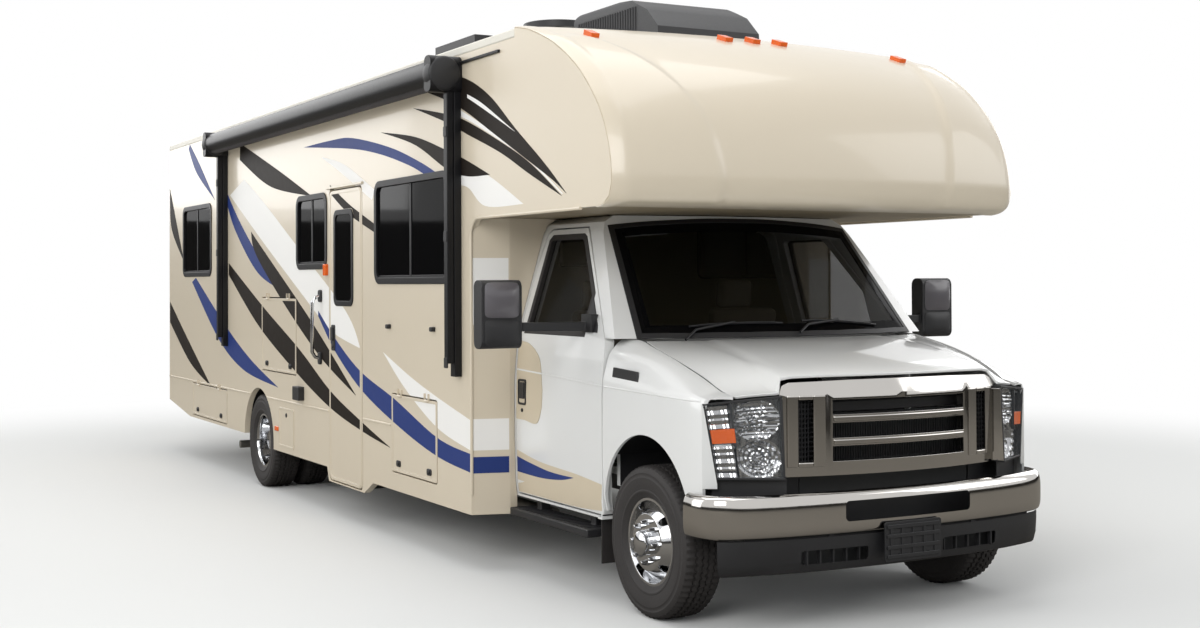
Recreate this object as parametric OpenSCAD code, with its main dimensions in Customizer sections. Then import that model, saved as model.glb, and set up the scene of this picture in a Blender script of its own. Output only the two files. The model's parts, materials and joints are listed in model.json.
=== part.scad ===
// Class C motorhome: van cab with a coach body on a ladder frame.
// X forward, Y to the driver's side, Z up, origin on the ground under the middle.

/* [Length and height] */
// Front axle to the front face of the plate bracket
front_overhang = 800; // [790:5:840]
// Front axle to rear axle
wheelbase = 5690; // [5500:10:5900]
// Rear axle to the outside of the rear wall
rear_overhang = 3070; // [2950:10:3200]
// Rear bumper depth behind the rear wall
rear_bumper_d = 95; // [60:5:140]
// Ground to the top of the side walls
wall_top = 2940; // [2900:5:2980]

/* [Coach body] */
// Coach width over the side walls
coach_w = 2514; // [2480:2:2540]
// Thickness of a laminated wall, door or hatch
wall_t = 45; // [38:1:52]
// Front edge of the side walls behind the cab, behind the front axle
coach_front = 1482; // [1470:1:1500]
// Underside of the space over the cab
over_z = 2002; // [1999:1:2020]
// Thickness of the floor over the cab
over_t = 40; // [25:1:60]
// Roof thickness at its edge
roof_edge = 50; // [40:1:70]
// Rise of the roof from its edge to the middle
roof_crown = 45; // [20:1:80]
// Top of the coach floor
floor_top = 900; // [890:5:920]
// Thickness of the coach floor
floor_t = 60; // [40:5:80]
// Bottom of the skirt ahead of the rear wheels
skirt_front = 340; // [310:5:370]
// Bottom of the skirt behind the rear wheels
skirt_rear = 398; // [370:5:420]
// Bottom of the rear wall
tail_z = 505; // [480:5:540]
// Radius of the rear wheel arch
arch_rear_r = 410; // [395:5:430]
// Gap round a door or hatch in its opening
door_gap = 9; // [7:0.5:12]

/* [Wheels] */
// Tyre outer diameter
tyre_d = 744; // [720:2:760]
// Tyre width
tyre_w = 224; // [210:2:236]
// Bead seat diameter of the rims
rim_d = 412; // [406:1:420]
// Middle of a front tyre from the centre line
front_y = 881; // [870:1:890]
// Middle of a pair of rear tyres from the centre line
rear_y = 989; // [980:1:1000]
// Spacing of two paired tyres
dual_pitch = 272; // [264:1:290]
// Kingpin from the centre line
kingpin_y = 800; // [795:1:805]
// Radial gap of a hub on its spindle
hub_gap = 0.3; // [0.1:0.1:1]

/* [Cab] */
// Cab half width at the doors
cab_y = 1014; // [1005:1:1020]
// Rear edge of the cab doors, behind the front axle
door_rear = 1400; // [1380:1:1410]
// Front edge of the cab doors, behind the front axle
door_front = 400; // [395:1:405]
// Bottom of the cab doors
door_z = 452; // [445:1:470]
// Thickness of the cab doors and pillars
door_t = 55; // [45:1:65]
// Slope of the windshield from upright, in degrees
screen_slope = 40.6; // [39:0.1:42]
// Radius of the windshield across the cab
screen_r = 3450; // [3200:10:3700]
// Thickness of the windshield and window glass
glass_t = 6; // [4:0.5:8]
// Thickness of the hood, fender and cap panels
panel_t = 14; // [10:1:20]
// Radius of the front wheel arch
arch_front_r = 400; // [394:1:404]

/* [Chassis] */
// Frame rail half spacing to the outer faces
rail_y = 465; // [450:1:470]
// Frame rail height
rail_h = 150; // [120:2:160]
// Top of the frame rails
rail_top = 600; // [600:1:600]
// Frame rail flange width
rail_w = 70; // [60:1:80]
// Frame rail sheet thickness
rail_t = 8; // [6:1:10]

/* [Hidden] */
overall_l = front_overhang + wheelbase + rear_overhang + rear_bumper_d;
axle_f_x = overall_l / 2 - front_overhang;
rear_x = -(wheelbase + rear_overhang);
// Front end of the rails, against the back of the front support
rail_end = sup_x(rail_y) - 26.05;
cw = coach_w / 2;
ci = cw - wall_t;
floor_z = floor_top - floor_t;
wheel_z = tyre_d / 2;
arch_rear_z = 385;
seat_gap = 0.4;
$fn = 64;

// Windows: front edge and length behind the front axle, low and high edge
windows_right = [[1818, 1176, 1655, 2270], [4002, 656, 1762, 2257], [wheelbase + 1484, 998, 1725, 2332]];
windows_left = [[1818, 1176, 1655, 2270], [4300, 900, 1762, 2257], [wheelbase + 1484, 998, 1725, 2332]];
// Hatches: front edge, length, low edge, high edge, depth of the box behind
hatch_front = [1980, 737, 449, 932, 430];
hatch_mid = [4702, 889, 952, 1520, 560];
hatch_rear = [wheelbase + 957, 1184, 430, 714, 445];
hatch_small = [4756, 368, 383, 683, 300];
// Entry door: front edge, length, low edge, high edge
entry = [3264, 666, 262, 2282];
// Entry door window: front edge, length, low edge, high edge
entry_win = [3455, 352, 1500, 2122];
// Floor beams: place behind the front axle, half length
beams = [for (x = [1560, 2860, 4250, wheelbase - 460, wheelbase + 490, -rear_x - 710, -rear_x - 120]) [x, ci - 62]];
// Short beams on the rails only
short_beams = [for (x = [2300, 3600, wheelbase + 1560]) [x, rail_y]];

// Corner of the space over the cab where cap and side wall meet: x, z
cap_edge = [[0, over_z], [70, over_z + 12], [122, 2046], [147, 2110], [145, 2190], [122, 2290],
  [84, 2385], [30, 2474], [-50, 2568], [-155, 2668], [-290, 2762], [-440, 2845], [-595, 2909],
  [-740, wall_top + 18], [-900, wall_top + roof_edge]];
// Middle of the cap, row by row: x, z
cap_mid = [[0, over_z], [190, over_z + 4], [272, 2040], [306, 2108], [306, 2196], [284, 2310],
  [243, 2422], [180, 2528], [90, 2632], [-35, 2732], [-190, 2822], [-365, 2898], [-550, 2958],
  [-725, wall_top + 64], [-900, wall_top + roof_edge + roof_crown]];
// Crease of the cap from the centre line, row by row
cap_crease = [690, 690, 692, 697, 706, 726, 752, 786, 832, 884, 950, 1030, 1110, 1160, 1190];

// Hinge lines: x and y of the right cab door, x of the entry door, its depth in the wall, pin radius
cab_hinge = [-door_front - 26, -cab_y + 14];
entry_hinge = [-entry[0] - 6, -cw + 6];
pin_r = 4;
// Hatch hinge line: outside the wall, below the hatch's top edge
hatch_pin = [7, 4];

// Cab section: half width, height, and how an inner skin steps in: across, down
cab_pts = [[cab_y - 16, 430, 1, 0], [cab_y - 5, 520, 1, 0], [cab_y, 760, 1, 0], [cab_y, 1080, 1, 0],
  [cab_y - 8, 1180, 1, 0], [cab_y - 22, 1340, 1, 0], [cab_y - 192, 1905, 1, 0.2],
  [cab_y - 222, 1962, 0.8, 0.8], [cab_y - 280, 1996, 0.5, 1]];
screen_x = -125;
screen_z = 1364;
screen_pts = [[-866, 92], [-600, 40], [-300, 6], [0, -6], [300, 6], [600, 40], [866, 92], [772, 822],
  [400, 806], [0, 800], [-400, 806], [-772, 822]];
door_pts = [[-door_rear, door_z], [-door_front - 14, door_z], [-door_front, door_z + 20],
  [-door_front, 1335], [-470, 1420], [-876, 1905], [-920, 1932], [-1330, 1932], [-1368, 1905],
  [-door_rear, 1700]];
door_win_pts = [[-1322, 1372], [-650, 1372], [-650, 1572], [-902, 1868], [-930, 1882], [-1290, 1882],
  [-1310, 1866]];

// Hood, from rear to front: share, edge half width, edge height, middle height
hood_rows = [[0, 864, 1344, 1342], [0.15, 878, 1318, 1336], [0.35, 884, 1282, 1318], [0.55, 880, 1238, 1294],
  [0.72, 870, 1192, 1268], [0.85, 862, 1148, 1244], [0.94, 854, 1124, 1222], [1, 848, 1115, 1202]];
hood_half_cols = [0.22, 0.45, 0.63, 0.74, 0.76, 0.78, 0.8, 0.86, 0.92, 0.96, 1];
hood_cols = concat([for (i = [len(hood_half_cols) - 1:-1:0]) -hood_half_cols[i]], [0], hood_half_cols);
hood_hinge = [-215, 1326];

// Fender, from rear to front: x, hood edge half width, hood edge height, crease height, half width
fender_rows = [[-door_front + 9, 872, 1352, 1170, cab_y], [-300, 874, 1346, 1164, cab_y],
  [-214, 872, 1340, 1158, cab_y], [-110, 882, 1318, 1150, cab_y], [0, 889, 1294, 1141, cab_y],
  [120, 892, 1264, 1131, cab_y], [230, 890, 1230, 1121, cab_y], [330, 883, 1196, 1112, cab_y - 2],
  [420, 872, 1158, 1104, cab_y - 7], [480, 860, 1128, 1094, cab_y - 16], [508, 856, 1112, 1088, cab_y - 24]];

module both() {
  children();
  mirror([0, 1, 0]) children();
}

// A flat outline in x and z, drawn from y0 - t to y0
module xz(y0, t) {
  translate([0, y0, 0]) rotate([90, 0, 0]) linear_extrude(t) children();
}

// A flat outline in y and z, drawn from x0 to x0 + l
module yz(x0, l) {
  translate([x0, 0, 0]) rotate([90, 0, 90]) linear_extrude(l) children();
}

module box(x0, x1, y0, y1, z0, z1) {
  translate([x0, y0, z0]) cube([x1 - x0, y1 - y0, z1 - z0]);
}

// A rectangle with round corners from one corner to the other
module rrect(x0, x1, z0, z1, r) {
  translate([x0 + r, z0]) square([x1 - x0 - 2 * r, z1 - z0]);
  translate([x0, z0 + r]) square([x1 - x0, z1 - z0 - 2 * r]);
  for (x = [x0 + r, x1 - r]) for (z = [z0 + r, z1 - r]) translate([x, z]) circle(r);
}

module win(w, grow, r) {
  rrect(-w[0] - w[1] - grow, -w[0] + grow, w[2] - grow, w[3] + grow, r + grow);
}

// A panel between two grids of points with the same rows and columns
module skin(a, b) {
  n = len(a);
  m = len(a[0]);
  k = n * m;
  pts = concat([for (r = a) each r], [for (r = b) each r]);
  fa = [for (i = [0:n - 2]) for (j = [0:m - 2]) let (p = i * m + j) each
    [[p, p + 1, p + m + 1], [p, p + m + 1, p + m]]];
  fb = [for (i = [0:n - 2]) for (j = [0:m - 2]) let (p = k + i * m + j) each
    [[p, p + m + 1, p + 1], [p, p + m, p + m + 1]]];
  e0 = [for (j = [0:m - 2]) each [[j + 1, j, k + j], [j + 1, k + j, k + j + 1]]];
  e1 = [for (j = [0:m - 2]) let (p = k - m + j) each [[p, p + 1, k + p + 1], [p, k + p + 1, k + p]]];
  e2 = [for (i = [0:n - 2]) let (p = i * m) each [[p, p + m, k + p + m], [p, k + p + m, k + p]]];
  e3 = [for (i = [0:n - 2]) let (p = i * m + m - 1) each [[p + m, p, k + p], [p + m, k + p, k + p + m]]];
  polyhedron(pts, concat(fa, fb, e0, e1, e2, e3), convexity = 6);
}

// Chassis
module rail() {
  y0 = rail_y - rail_w;
  difference() {
    box(rear_x + 60, rail_end, y0, rail_y, rail_top - rail_h, rail_top);
    box(rear_x + 59, rail_end + 1, y0 - 1, rail_y - rail_t, rail_top - rail_h + rail_t, rail_top - rail_t);
  }
  for (x = [-wheelbase - 690, -wheelbase + 630])
    box(x, x + 60, rail_y, rail_y + 95, 520, rail_top);
}

module frame_rails() color("#2b2c2e") both() rail();

module frame_beams() color("#2b2c2e") {
  for (b = concat(beams, short_beams)) box(-b[0] - 40, -b[0] + 40, -b[1], b[1], rail_top, floor_z);
  box(-120, 120, -rail_y + rail_t, rail_y - rail_t, 470, 540);
}

module engine_block() {
  box(-380, 400, -290, 290, 540, 1080);
  box(-700, -380, -260, 260, 540, 930);
  box(-1460, -560, -170, 170, 420, 590);
}

module driveshaft() {
  shaft_dx = wheelbase - 1460 - 175;
  translate([-1460 - shaft_dx, 0, wheel_z]) rotate([0, 90 - atan((500 - wheel_z) / shaft_dx), 0])
    cylinder(r = 42, h = sqrt(pow(shaft_dx, 2) + pow(500 - wheel_z, 2)) + 10);
}

module drivetrain() color("#54565a") {
  engine_block();
  difference() {
    driveshaft();
    box(-wheelbase - 200, -wheelbase + 175, -200, 200, 0, 900);
  }
}

module exhaust() color("#7c7a76") {
  translate([-wheelbase - 760, -640, 270]) rotate([0, 90, 0]) cylinder(r = 32, h = wheelbase - 900);
  translate([-3200, -640, 270]) rotate([0, 90, 0]) cylinder(r = 95, h = 620);
  translate([-wheelbase - 760, -608, 270]) rotate([90, 0, 0]) cylinder(r = 32, h = 590);
  for (b = [beams[1], beams[2]]) box(-b[0] - 15, -b[0] + 15, -660, -620, 280, rail_top);
}

module fuel_tank() color("#232426") box(-wheelbase - 2160, -wheelbase - 960, -370, 370, 330, rail_top);

module i_beam() {
  difference() {
    union() {
      translate([0, -kingpin_y, 300]) cylinder(r = 42, h = 140);
      box(-30, 30, -kingpin_y + 20, -600, 330, 410);
      box(-30, 110, -640, -580, 330, 410);
      box(40, 110, -640, 270, 330, 410);
      box(40, 110, 200, 270, 330, 470);
    }
    translate([0, -kingpin_y, 290]) cylinder(r = 20 + hub_gap, h = 160);
  }
}

module front_axle() color("#34363a") {
  i_beam();
  rotate([0, 0, 180]) i_beam();
}

module knuckle() color("#3d3f43") {
  translate([0, -kingpin_y, 256]) cylinder(r = 20, h = 230);
  for (z = [256, 456]) box(-34, 34, -kingpin_y - 60, -kingpin_y + 36, z, z + 30);
  box(-40, 40, -kingpin_y - 76, -kingpin_y - 52, 256, 486);
  translate([0, -kingpin_y - 60, wheel_z]) rotate([90, 0, 0]) cylinder(r = 32, h = front_y + 104 - kingpin_y - 60);
  box(-34, 34, -kingpin_y + 30, -kingpin_y + 90, 256, 286);
  box(-150, 34, -kingpin_y + 60, -kingpin_y + 90, 256, 286);
}

module knuckle_r() knuckle();
module knuckle_l() mirror([0, 1, 0]) knuckle();

module rear_axle() color("#34363a") translate([-wheelbase, 0, wheel_z]) {
  rotate([90, 0, 0]) cylinder(r = 55, h = 2 * (rear_y - 95), center = true);
  rotate([90, 0, 0]) cylinder(r = 50, h = 2 * (rear_y + 150), center = true);
  sphere(r = 168, $fn = 48);
  rotate([0, 90, 0]) cylinder(r = 70, h = 175);
  both() box(-70, 70, rail_y + 22, rail_y + 98, 20, 62);
}

module leaf_springs() color("#2f3033") both() xz(rail_y + 95, 70) translate([-wheelbase, wheel_z + 62])
  polygon([[-80, 0], [80, 0], [80, 34], [420, 52], [600, 520 - wheel_z - 78], [690, 520 - wheel_z - 78],
    [690, 520 - wheel_z - 62], [600, 520 - wheel_z - 62], [400, 68], [80, 58], [-80, 58], [-400, 68],
    [-600, 520 - wheel_z - 62], [-690, 520 - wheel_z - 62], [-690, 520 - wheel_z - 78],
    [-600, 520 - wheel_z - 78], [-420, 52], [-80, 34]]);

// Wheels: a profile turned about Y, radius against width, plus is outboard on the right side
module turned(y) translate([0, -y, wheel_z]) rotate([90, 0, 0]) rotate_extrude($fn = 96) children();

module tyre_outline() {
  r0 = rim_d / 2 + seat_gap;
  r1 = tyre_d / 2;
  w = tyre_w / 2;
  half = [[r0, 82], [r0 + 10.2, 82], [r0 + 10.6, w - 22], [r0 + 25.6, w - 11], [r0 + 55.6, w - 2], [r0 + 85.6, w], [r1 - 50, w - 2],
    [r1 - 27, w - 8], [r1 - 14, w - 15], [r1 - 6, w - 24], [r1 - 1, w - 38], [r1, w - 56]];
  polygon(concat(half, [for (i = [len(half) - 1:-1:0]) [half[i][0], -half[i][1]]]));
}

module tyre_hole() polygon([[rim_d / 2 - 2, -60], [rim_d / 2 + 19, -64], [rim_d / 2 + 39, -86], [292, 16 - tyre_w / 2], [332, -92],
  [tyre_d / 2 - 18, -78], [tyre_d / 2 - 16, 0], [tyre_d / 2 - 18, 78], [332, 92], [292, tyre_w / 2 - 16],
  [rim_d / 2 + 39, 86], [rim_d / 2 + 19, 64], [rim_d / 2 - 2, 60]]);

module tyre(y) color("#1c1c1d") turned(y) difference() {
  tyre_outline();
  tyre_hole();
}

module rim_shape() let (r = rim_d / 2) polygon([[r + 10, 88], [r + 10, 82], [r, 82], [r, 62], [r - 3, 56], [r - 3, -56],
  [r, -62], [r, -82], [r + 10, -82], [r + 10, -88], [r - 6, -88], [r - 12, -72], [r - 14, -50], [r - 14, 8],
  [r - 22, 30], [136, 97], [50, 97], [50, 105], [138, 105], [r - 16, 36], [r - 12, 48], [r - 9, 72], [r - 6, 88]]);

module hand_holes(y, r) for (a = [45:90:315]) translate([0, -y, wheel_z]) rotate([90, a, 0])
  translate([rim_d / 2 - 41, 0, -130]) cylinder(r = r, h = 260, $fn = 32);

module rim_front() color("#c9cbce") {
  difference() {
    union() {
      turned(front_y) rim_shape();
      translate([0, -front_y, wheel_z]) rotate([90, 0, 0]) cylinder(r = 62, h = 126);
    }
    hand_holes(front_y, 23);
    translate([0, -front_y + 1, wheel_z]) rotate([90, 0, 0]) cylinder(r = 32 + hub_gap, h = 113);
  }
}

module rim_rear() color("#c9cbce") translate([-wheelbase, 0, 0]) {
  yo = rear_y + dual_pitch / 2;
  yi = rear_y - dual_pitch / 2;
  difference() {
    union() {
      turned(yo) mirror([0, 1]) rim_shape();
      turned(yi) rim_shape();
      translate([0, -yi - 97, wheel_z]) rotate([90, 0, 0]) cylinder(r = 128, h = dual_pitch - 194);
      translate([0, -rear_y + 84, wheel_z]) rotate([90, 0, 0]) cylinder(r = 76, h = 260);
    }
    hand_holes(rear_y, 23);
    translate([0, -rear_y + 85, wheel_z]) rotate([90, 0, 0]) cylinder(r = 50 + hub_gap, h = 243);
  }
}

module tyre_fr() tyre(front_y);
module tyre_fl() mirror([0, 1, 0]) tyre(front_y);
module rim_fr() rim_front();
module rim_fl() mirror([0, 1, 0]) rim_front();
module tyre_pair() translate([-wheelbase, 0, 0]) {
  tyre(rear_y + dual_pitch / 2);
  tyre(rear_y - dual_pitch / 2);
}
module tyres_rr() tyre_pair();
module tyres_rl() mirror([0, 1, 0]) tyre_pair();
module rims_rr() rim_rear();
module rims_rl() mirror([0, 1, 0]) rim_rear();

// Cab
module cab_sec(d, z0) {
  half = [for (p = cab_pts) [p[0] - d * p[2], max(z0, p[1] - d * p[3])]];
  low = [[cab_pts[0][0] - d, z0]];
  right = concat(low, half);
  polygon(concat(right, [for (i = [len(right) - 1:-1:0]) [-right[i][0], right[i][1]]]));
}

module screen_at() translate([screen_x, 0, screen_z]) rotate([0, -screen_slope, 0]) children();

module screen_cyl(d) screen_at() translate([-screen_r, 0, -900]) cylinder(r = screen_r - d, h = 2400, $fn = 960);

module screen_cut(grow) screen_at() yz(-75, 235) polygon([for (p = screen_pts)
  [p[0] + (p[0] > 0 ? grow : -grow) * min(1, abs(p[0]) / 700), p[1] + (p[1] > 400 ? grow : -grow)]]);

module door_cut(grow) both() xz(cab_y + 60, 360) polygon([for (p = door_pts)
  [p[0] + (p[0] > -700 ? grow : (p[0] < -1300 ? -grow : grow)), p[1] + (p[1] < 900 ? -grow : (p[1] > 1800 ? grow : 0))]]);

module cab_body() color("#eceae4") difference() {
  union() {
    cab_shell();
    door_pivots();
  }
  both() translate([cab_hinge[0], cab_hinge[1], 400]) cylinder(r = pin_r + hub_gap, h = 80);
}

module cab_shell() difference() {
  union() {
    difference() {
      intersection() {
        yz(-coach_front + 4, coach_front - 4) cab_sec(0, 430);
        screen_cyl(0);
      }
      intersection() {
        yz(-coach_front, coach_front) cab_sec(door_t, rail_top + 40);
        screen_cyl(46);
      }
      box(-coach_front, 0, -880, 880, 400, rail_top);
      box(-door_front - 4, 0, -1100, 1100, 400, 1350);
    }
    yz(-door_front - 4, 44) polygon([[-930, rail_top], [930, rail_top], [930, 1250], [870, 1345], [866, 1350],
      [-866, 1350], [-870, 1345], [-930, 1250]]);
  }
  door_cut(door_gap);
  screen_cut(0);
  box(-760, 0, -345, 345, 500, 1130);
  box(-coach_front, -880, -690, 690, 1800, 2100);
}

// Pivot plates under the front corner of each door
module door_pivots() both() box(-door_front - 40, -door_front + 4, -cab_y - 2, -cab_y + 90, 430, 442);

module windshield() color("#20262a") intersection() {
  difference() {
    screen_cyl(8);
    screen_cyl(8 + glass_t);
  }
  screen_cut(0);
}

module cowl() color("#1d1e20") {
  cowl_plate();
  both() {
    xz(-681, 9) translate([hood_hinge[0] - 6, 1300]) square([12, hood_hinge[1] - 1295]);
    translate([hood_hinge[0], -681, hood_hinge[1]]) rotate([90, 0, 0]) cylinder(r = 5, h = 30);
  }
}

module cowl_plate() difference() {
  intersection() {
    box(-door_front + 40, 0, -858, 858, 1288, 1310);
    translate([-66 - 2497, 0, 1200]) cylinder(r = 2497, h = 300, $fn = 240);
  }
  box(-door_front, 0, -345, 345, 500, 1130);
}

module cab_door() color("#eceae4") {
  door_panel();
  translate([cab_hinge[0], cab_hinge[1], 432]) cylinder(r = pin_r, h = 60);
}

module door_panel() difference() {
  intersection() {
    yz(-coach_front, coach_front) difference() {
      cab_sec(0, 430);
      cab_sec(door_t, 400);
    }
    xz(0, 1100) polygon(door_pts);
  }
  xz(0, 1100) polygon(door_win_pts);
}

module door_glass() color("#1f2529") intersection() {
  yz(-coach_front, coach_front) difference() {
    cab_sec(20, 430);
    cab_sec(20 + glass_t, 400);
  }
  xz(0, 1100) polygon(door_win_pts);
}

module cab_door_r() cab_door();
module cab_door_l() mirror([0, 1, 0]) cab_door();
module door_glass_r() door_glass();
module door_glass_l() mirror([0, 1, 0]) door_glass();

function ease(u) = let (v = min(1, max(0, u))) v * v * (3 - 2 * v);
// Front edge of the hood: bowed over the grille, then out along the top of the headlamp
function hood_front(y) = let (e = ease((abs(y) - 636) / 40))
  (1 - e) * (712 - y * y / 4600) + e * (666 - 0.55 * (abs(y) - 666));
// Share of the drop to the hood's edge: rolled at the windscreen, a step beside the grille at the front
function hood_drop(share, y, t) = let (w = ease((share - 0.6) / 0.4), roll = pow(abs(t), 5))
  (1 - w) * roll + w * (0.72 * ease((abs(y) - 632) / 44) + 0.28 * roll);
function hood_pt(r, t) = let (y = t * r[1], x0 = -66 - 2497 + sqrt(2497 * 2497 - y * y) + 15)
  [x0 + (hood_front(y) - x0) * r[0], y, r[3] - (r[3] - r[2]) * hood_drop(r[0], y, t)];

module hood() color("#eceae4") {
  skin([for (r = hood_rows) [for (t = hood_cols) hood_pt(r, t)]],
    [for (r = hood_rows) [for (t = hood_cols) let (p = hood_pt(r, t)) [p[0], p[1] * (1 - panel_t / 1600), p[2] - panel_t]]]);
  both() difference() {
    xz(-695, 10) {
      translate([hood_hinge[0], hood_hinge[1] - 9]) square([105, 18]);
      translate(hood_hinge) circle(9);
    }
    translate([hood_hinge[0], -690, hood_hinge[1]]) rotate([90, 0, 0]) cylinder(r = 5 + hub_gap, h = 30);
  }
}

function fender_pts(r, d) = [for (q = [[r[4] - 24 - d, 478], [r[4] - 6 - d, 560], [r[4] - d, 700], [r[4] - d, 900],
    [r[4] - 3 - d, r[3] - 80], [r[4] - 12 - d, r[3]],
    [r[4] - 44 - d, r[3] + (r[2] - r[3]) * 0.55 - d * 0.2], [r[1] + 38 + (r[4] - r[1] - 120) * 0.3 - d * 0.7, r[3] + (r[2] - r[3]) * 0.88 - d * 0.7],
    [r[1] + 8, r[2] - d]]) [r[0] + (r[0] > 500 && q[1] > r[3] - 24 ? max(0, lamp_out[1] - q[0]) * 0.55 : 0), -q[0], q[1]]];

// Panel from the fender's front edge to the outer edge of the lamp
module fender_nose() intersection() {
  translate([0, 0, 690]) linear_extrude(390) polygon([[lamp_out[0] - 8, -988], [lamp_out[0], -990], [548, -926], [536, -918], [lamp_out[0] - 14, -972]]);
  yz(400, 300) polygon([[-1010, lamp_out[2]], [-lamp_out[1], lamp_out[2]], [-lamp_low[1], lamp_low[2]], [-lamp_low[1] + 6, 690], [-1010, 690]]);
}

module fenders() color("#eceae4") both() difference() {
  union() {
    skin([for (r = fender_rows) fender_pts(r, 0)], [for (r = fender_rows) fender_pts(r, panel_t * 1.5)]);
    fender_nose();
  }
  xz(-900, 200) {
    translate([20, 495]) circle(arch_front_r, $fn = 128);
    translate([20 - arch_front_r, 300]) square([2 * arch_front_r, 195]);
  }
  lamp();
}

// Front end
function sup_x(y) = abs(y) > 626 ? 599 - (abs(y) - 626) * 0.552 : 599 + (626 - abs(y)) * 0.05;

module front_support() color("#222325") difference() {
  translate([0, 0, 490]) linear_extrude(580) polygon(concat(
    [for (y = [-930, -626, 0, 626, 930]) [sup_x(y), y]], [for (y = [930, 626, 0, -626, -930]) [sup_x(y) - 26, y]]));
  yz(400, 400) rrect(-520, 520, 600, 1020, 40);
}

module grille_ring(d) translate([-2300 + 742, 0, 0]) cylinder(r = 2300 - d, h = 1500, $fn = 240);

// The grille's face, leaning back from the foot of its brow to the hood
module grille_face() translate([-2300 + 742, 0, 0]) {
  cylinder(r = 2300, h = 1112, $fn = 240);
  translate([0, 0, 1112]) cylinder(r1 = 2300, r2 = 2268, h = 76, $fn = 240);
}

// Outline of the right half of the grille, up its side and in along the hood's edge
grille_half = [[650, 735], [660, 1060], [654, 1120], [636, 1152], [600, 1168], [300, 1175], [120, 1176]];

module grille() color("#cfd2d6") {
  intersection() {
    difference() {
      grille_face();
      grille_ring(46);
    }
    yz(500, 300) difference() {
      polygon(concat([for (p = grille_half) p], [for (i = [len(grille_half) - 1:-1:0]) [-grille_half[i][0], grille_half[i][1]]]));
      for (s = [-1, 1]) polygon([[s * 600, 790], [s * 450, 790], [s * 450, 1098], [s * 612, 1098]]);
      for (z = [800, 908, 1016]) polygon([[-398, z], [398, z], [398, z + 70], [-398, z + 70]]);
    }
  }
  for (s = [-1, 1]) box(sup_x(520), 668, s * 540 - 20, s * 540 + 20, 742, 780);
}

// Headlamp corners: outer top and outer bottom
lamp_out = [508, 986, 1078];
lamp_low = [540, 935, 730];

module lamp() {
  f = [lamp_out, [684, 666, 1112], [706, 666, 730], lamp_low];
  b = [for (p = f) [sup_x(p[1]) + 0, p[1], min(p[2], 1070)]];
  polyhedron([for (p = concat(f, b)) [p[0], -p[1], p[2]]],
    [[0, 1, 2], [0, 2, 3], [4, 6, 5], [4, 7, 6], [0, 4, 5], [0, 5, 1], [1, 5, 6], [1, 6, 2], [2, 6, 7], [2, 7, 3],
      [3, 7, 4], [3, 4, 0]]);
}

module headlamps() color("#dfe3e6") both() lamp();

// Bumper path in plan: x, y on the right half, and the way the face looks
function bar_path() = [[430, 1046], [500, 1044], [562, 1028], [620, 992], [668, 930], [704, 840], [732, 720],
  [756, 560], [774, 374], [784, 180], [788, 0]];
function bar_row(p, prof, k) = [for (q = prof) let (s = p[1] < 900 ? 0 : (p[1] - 900) / 150)
  [p[0] - (q[0] + k * q[2]) * (1 - 0.86 * s), -(p[1] - (q[0] + k * q[2]) * 0.9 * s), q[1] + k * q[3]]];
// Section of the bumper face: set back, height, inner skin back and up
bumper_prof = [[34, 466, 3, 5], [12, 478, 5, 3], [2, 508, 5, 0], [0, 560, 5, 0], [2, 616, 5, 0], [14, 650, 5, -3], [40, 666, 3, -5]];
valance_prof = [[92, 292, 5, 3], [52, 304, 6, 2], [36, 350, 6, 0], [30, 420, 6, 0], [30, 460, 6, 0]];

function mirror_rows(rows) = concat(rows, [for (i = [len(rows) - 2:-1:0]) [for (q = rows[i]) [q[0], -q[1], q[2]]]]);

module bar(prof, path) skin(mirror_rows([for (p = path) bar_row(p, prof, 0)]),
  mirror_rows([for (p = path) bar_row(p, prof, 1)]));

module bumper_front() color("#d5d8dc") {
  difference() {
    bar(bumper_prof, bar_path());
    yz(640, 220) rrect(-376, 376, 528, 622, 22);
  }
  for (s = [-1, 1]) box(sup_x(410), 762, s * 430 - 20, s * 430 + 20, 490, 524);
}

module valance() color("#232426") {
  bar(valance_prof, [for (i = [3:10]) bar_path()[i]]);
  difference() {
    for (s = [-1, 1]) box(700, 736, s * 430 - 15, s * 430 + 15, 440, 490);
    bar(bumper_prof, bar_path());
  }
}

module plate_bracket() color("#1b1c1d") difference() {
  union() {
    yz(front_overhang - 8, 8) rrect(-170, 170, 326, 510, 14);
    difference() {
      box(752, front_overhang - 8, -60, 60, 380, 440);
      bar(valance_prof, [for (i = [3:10]) bar_path()[i]]);
      bar(bumper_prof, bar_path());
    }
  }
  for (y = [-88.9, 88.9]) for (z = [358, 478.65]) translate([700, y, z]) rotate([0, 90, 0]) cylinder(r = 3.3, h = 200, $fn = 24);
}

module mirror_arm() color("#1a1b1c") {
  xz(-1330, 228) rrect(-770, -668, 1298, 1650, 40);
  difference() {
    union() {
      translate([0, 0, 1384]) linear_extrude(46) polygon([[-636, -900], [-566, -900], [-690, -1340], [-742, -1340]]);
      box(-644, -536, -1000, -900, 1376, 1470);
    }
    yz(-coach_front, coach_front) cab_sec(-seat_gap, 300);
  }
}

module mirror_r() mirror_arm();
module mirror_l() mirror([0, 1, 0]) mirror_arm();

module running_boards() color("#1d1e20") both() {
  box(-1390, -470, -1062, -900, 330, 372);
  for (x = [-1250, -620]) box(x, x + 50, -960, -900, 372, 430);
}

module wheel_liners() color("#1b1b1c") both() {
  xz(-560, 416) difference() {
    translate([0, 470]) circle(470, $fn = 128);
    translate([0, 470]) circle(462, $fn = 128);
    translate([-500, -100]) square([1000, 660]);
    translate([-500, 0]) square([500 - door_front + 40, 1000]);
    translate([396, 0]) square([100, 1000]);
  }
  xz(-700, ci - 700) translate([-wheelbase, arch_rear_z]) difference() {
    circle(arch_rear_r + 38, $fn = 128);
    circle(arch_rear_r + 30, $fn = 128);
    translate([-600, -600]) square([1200, 790]);
  }
}

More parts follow.
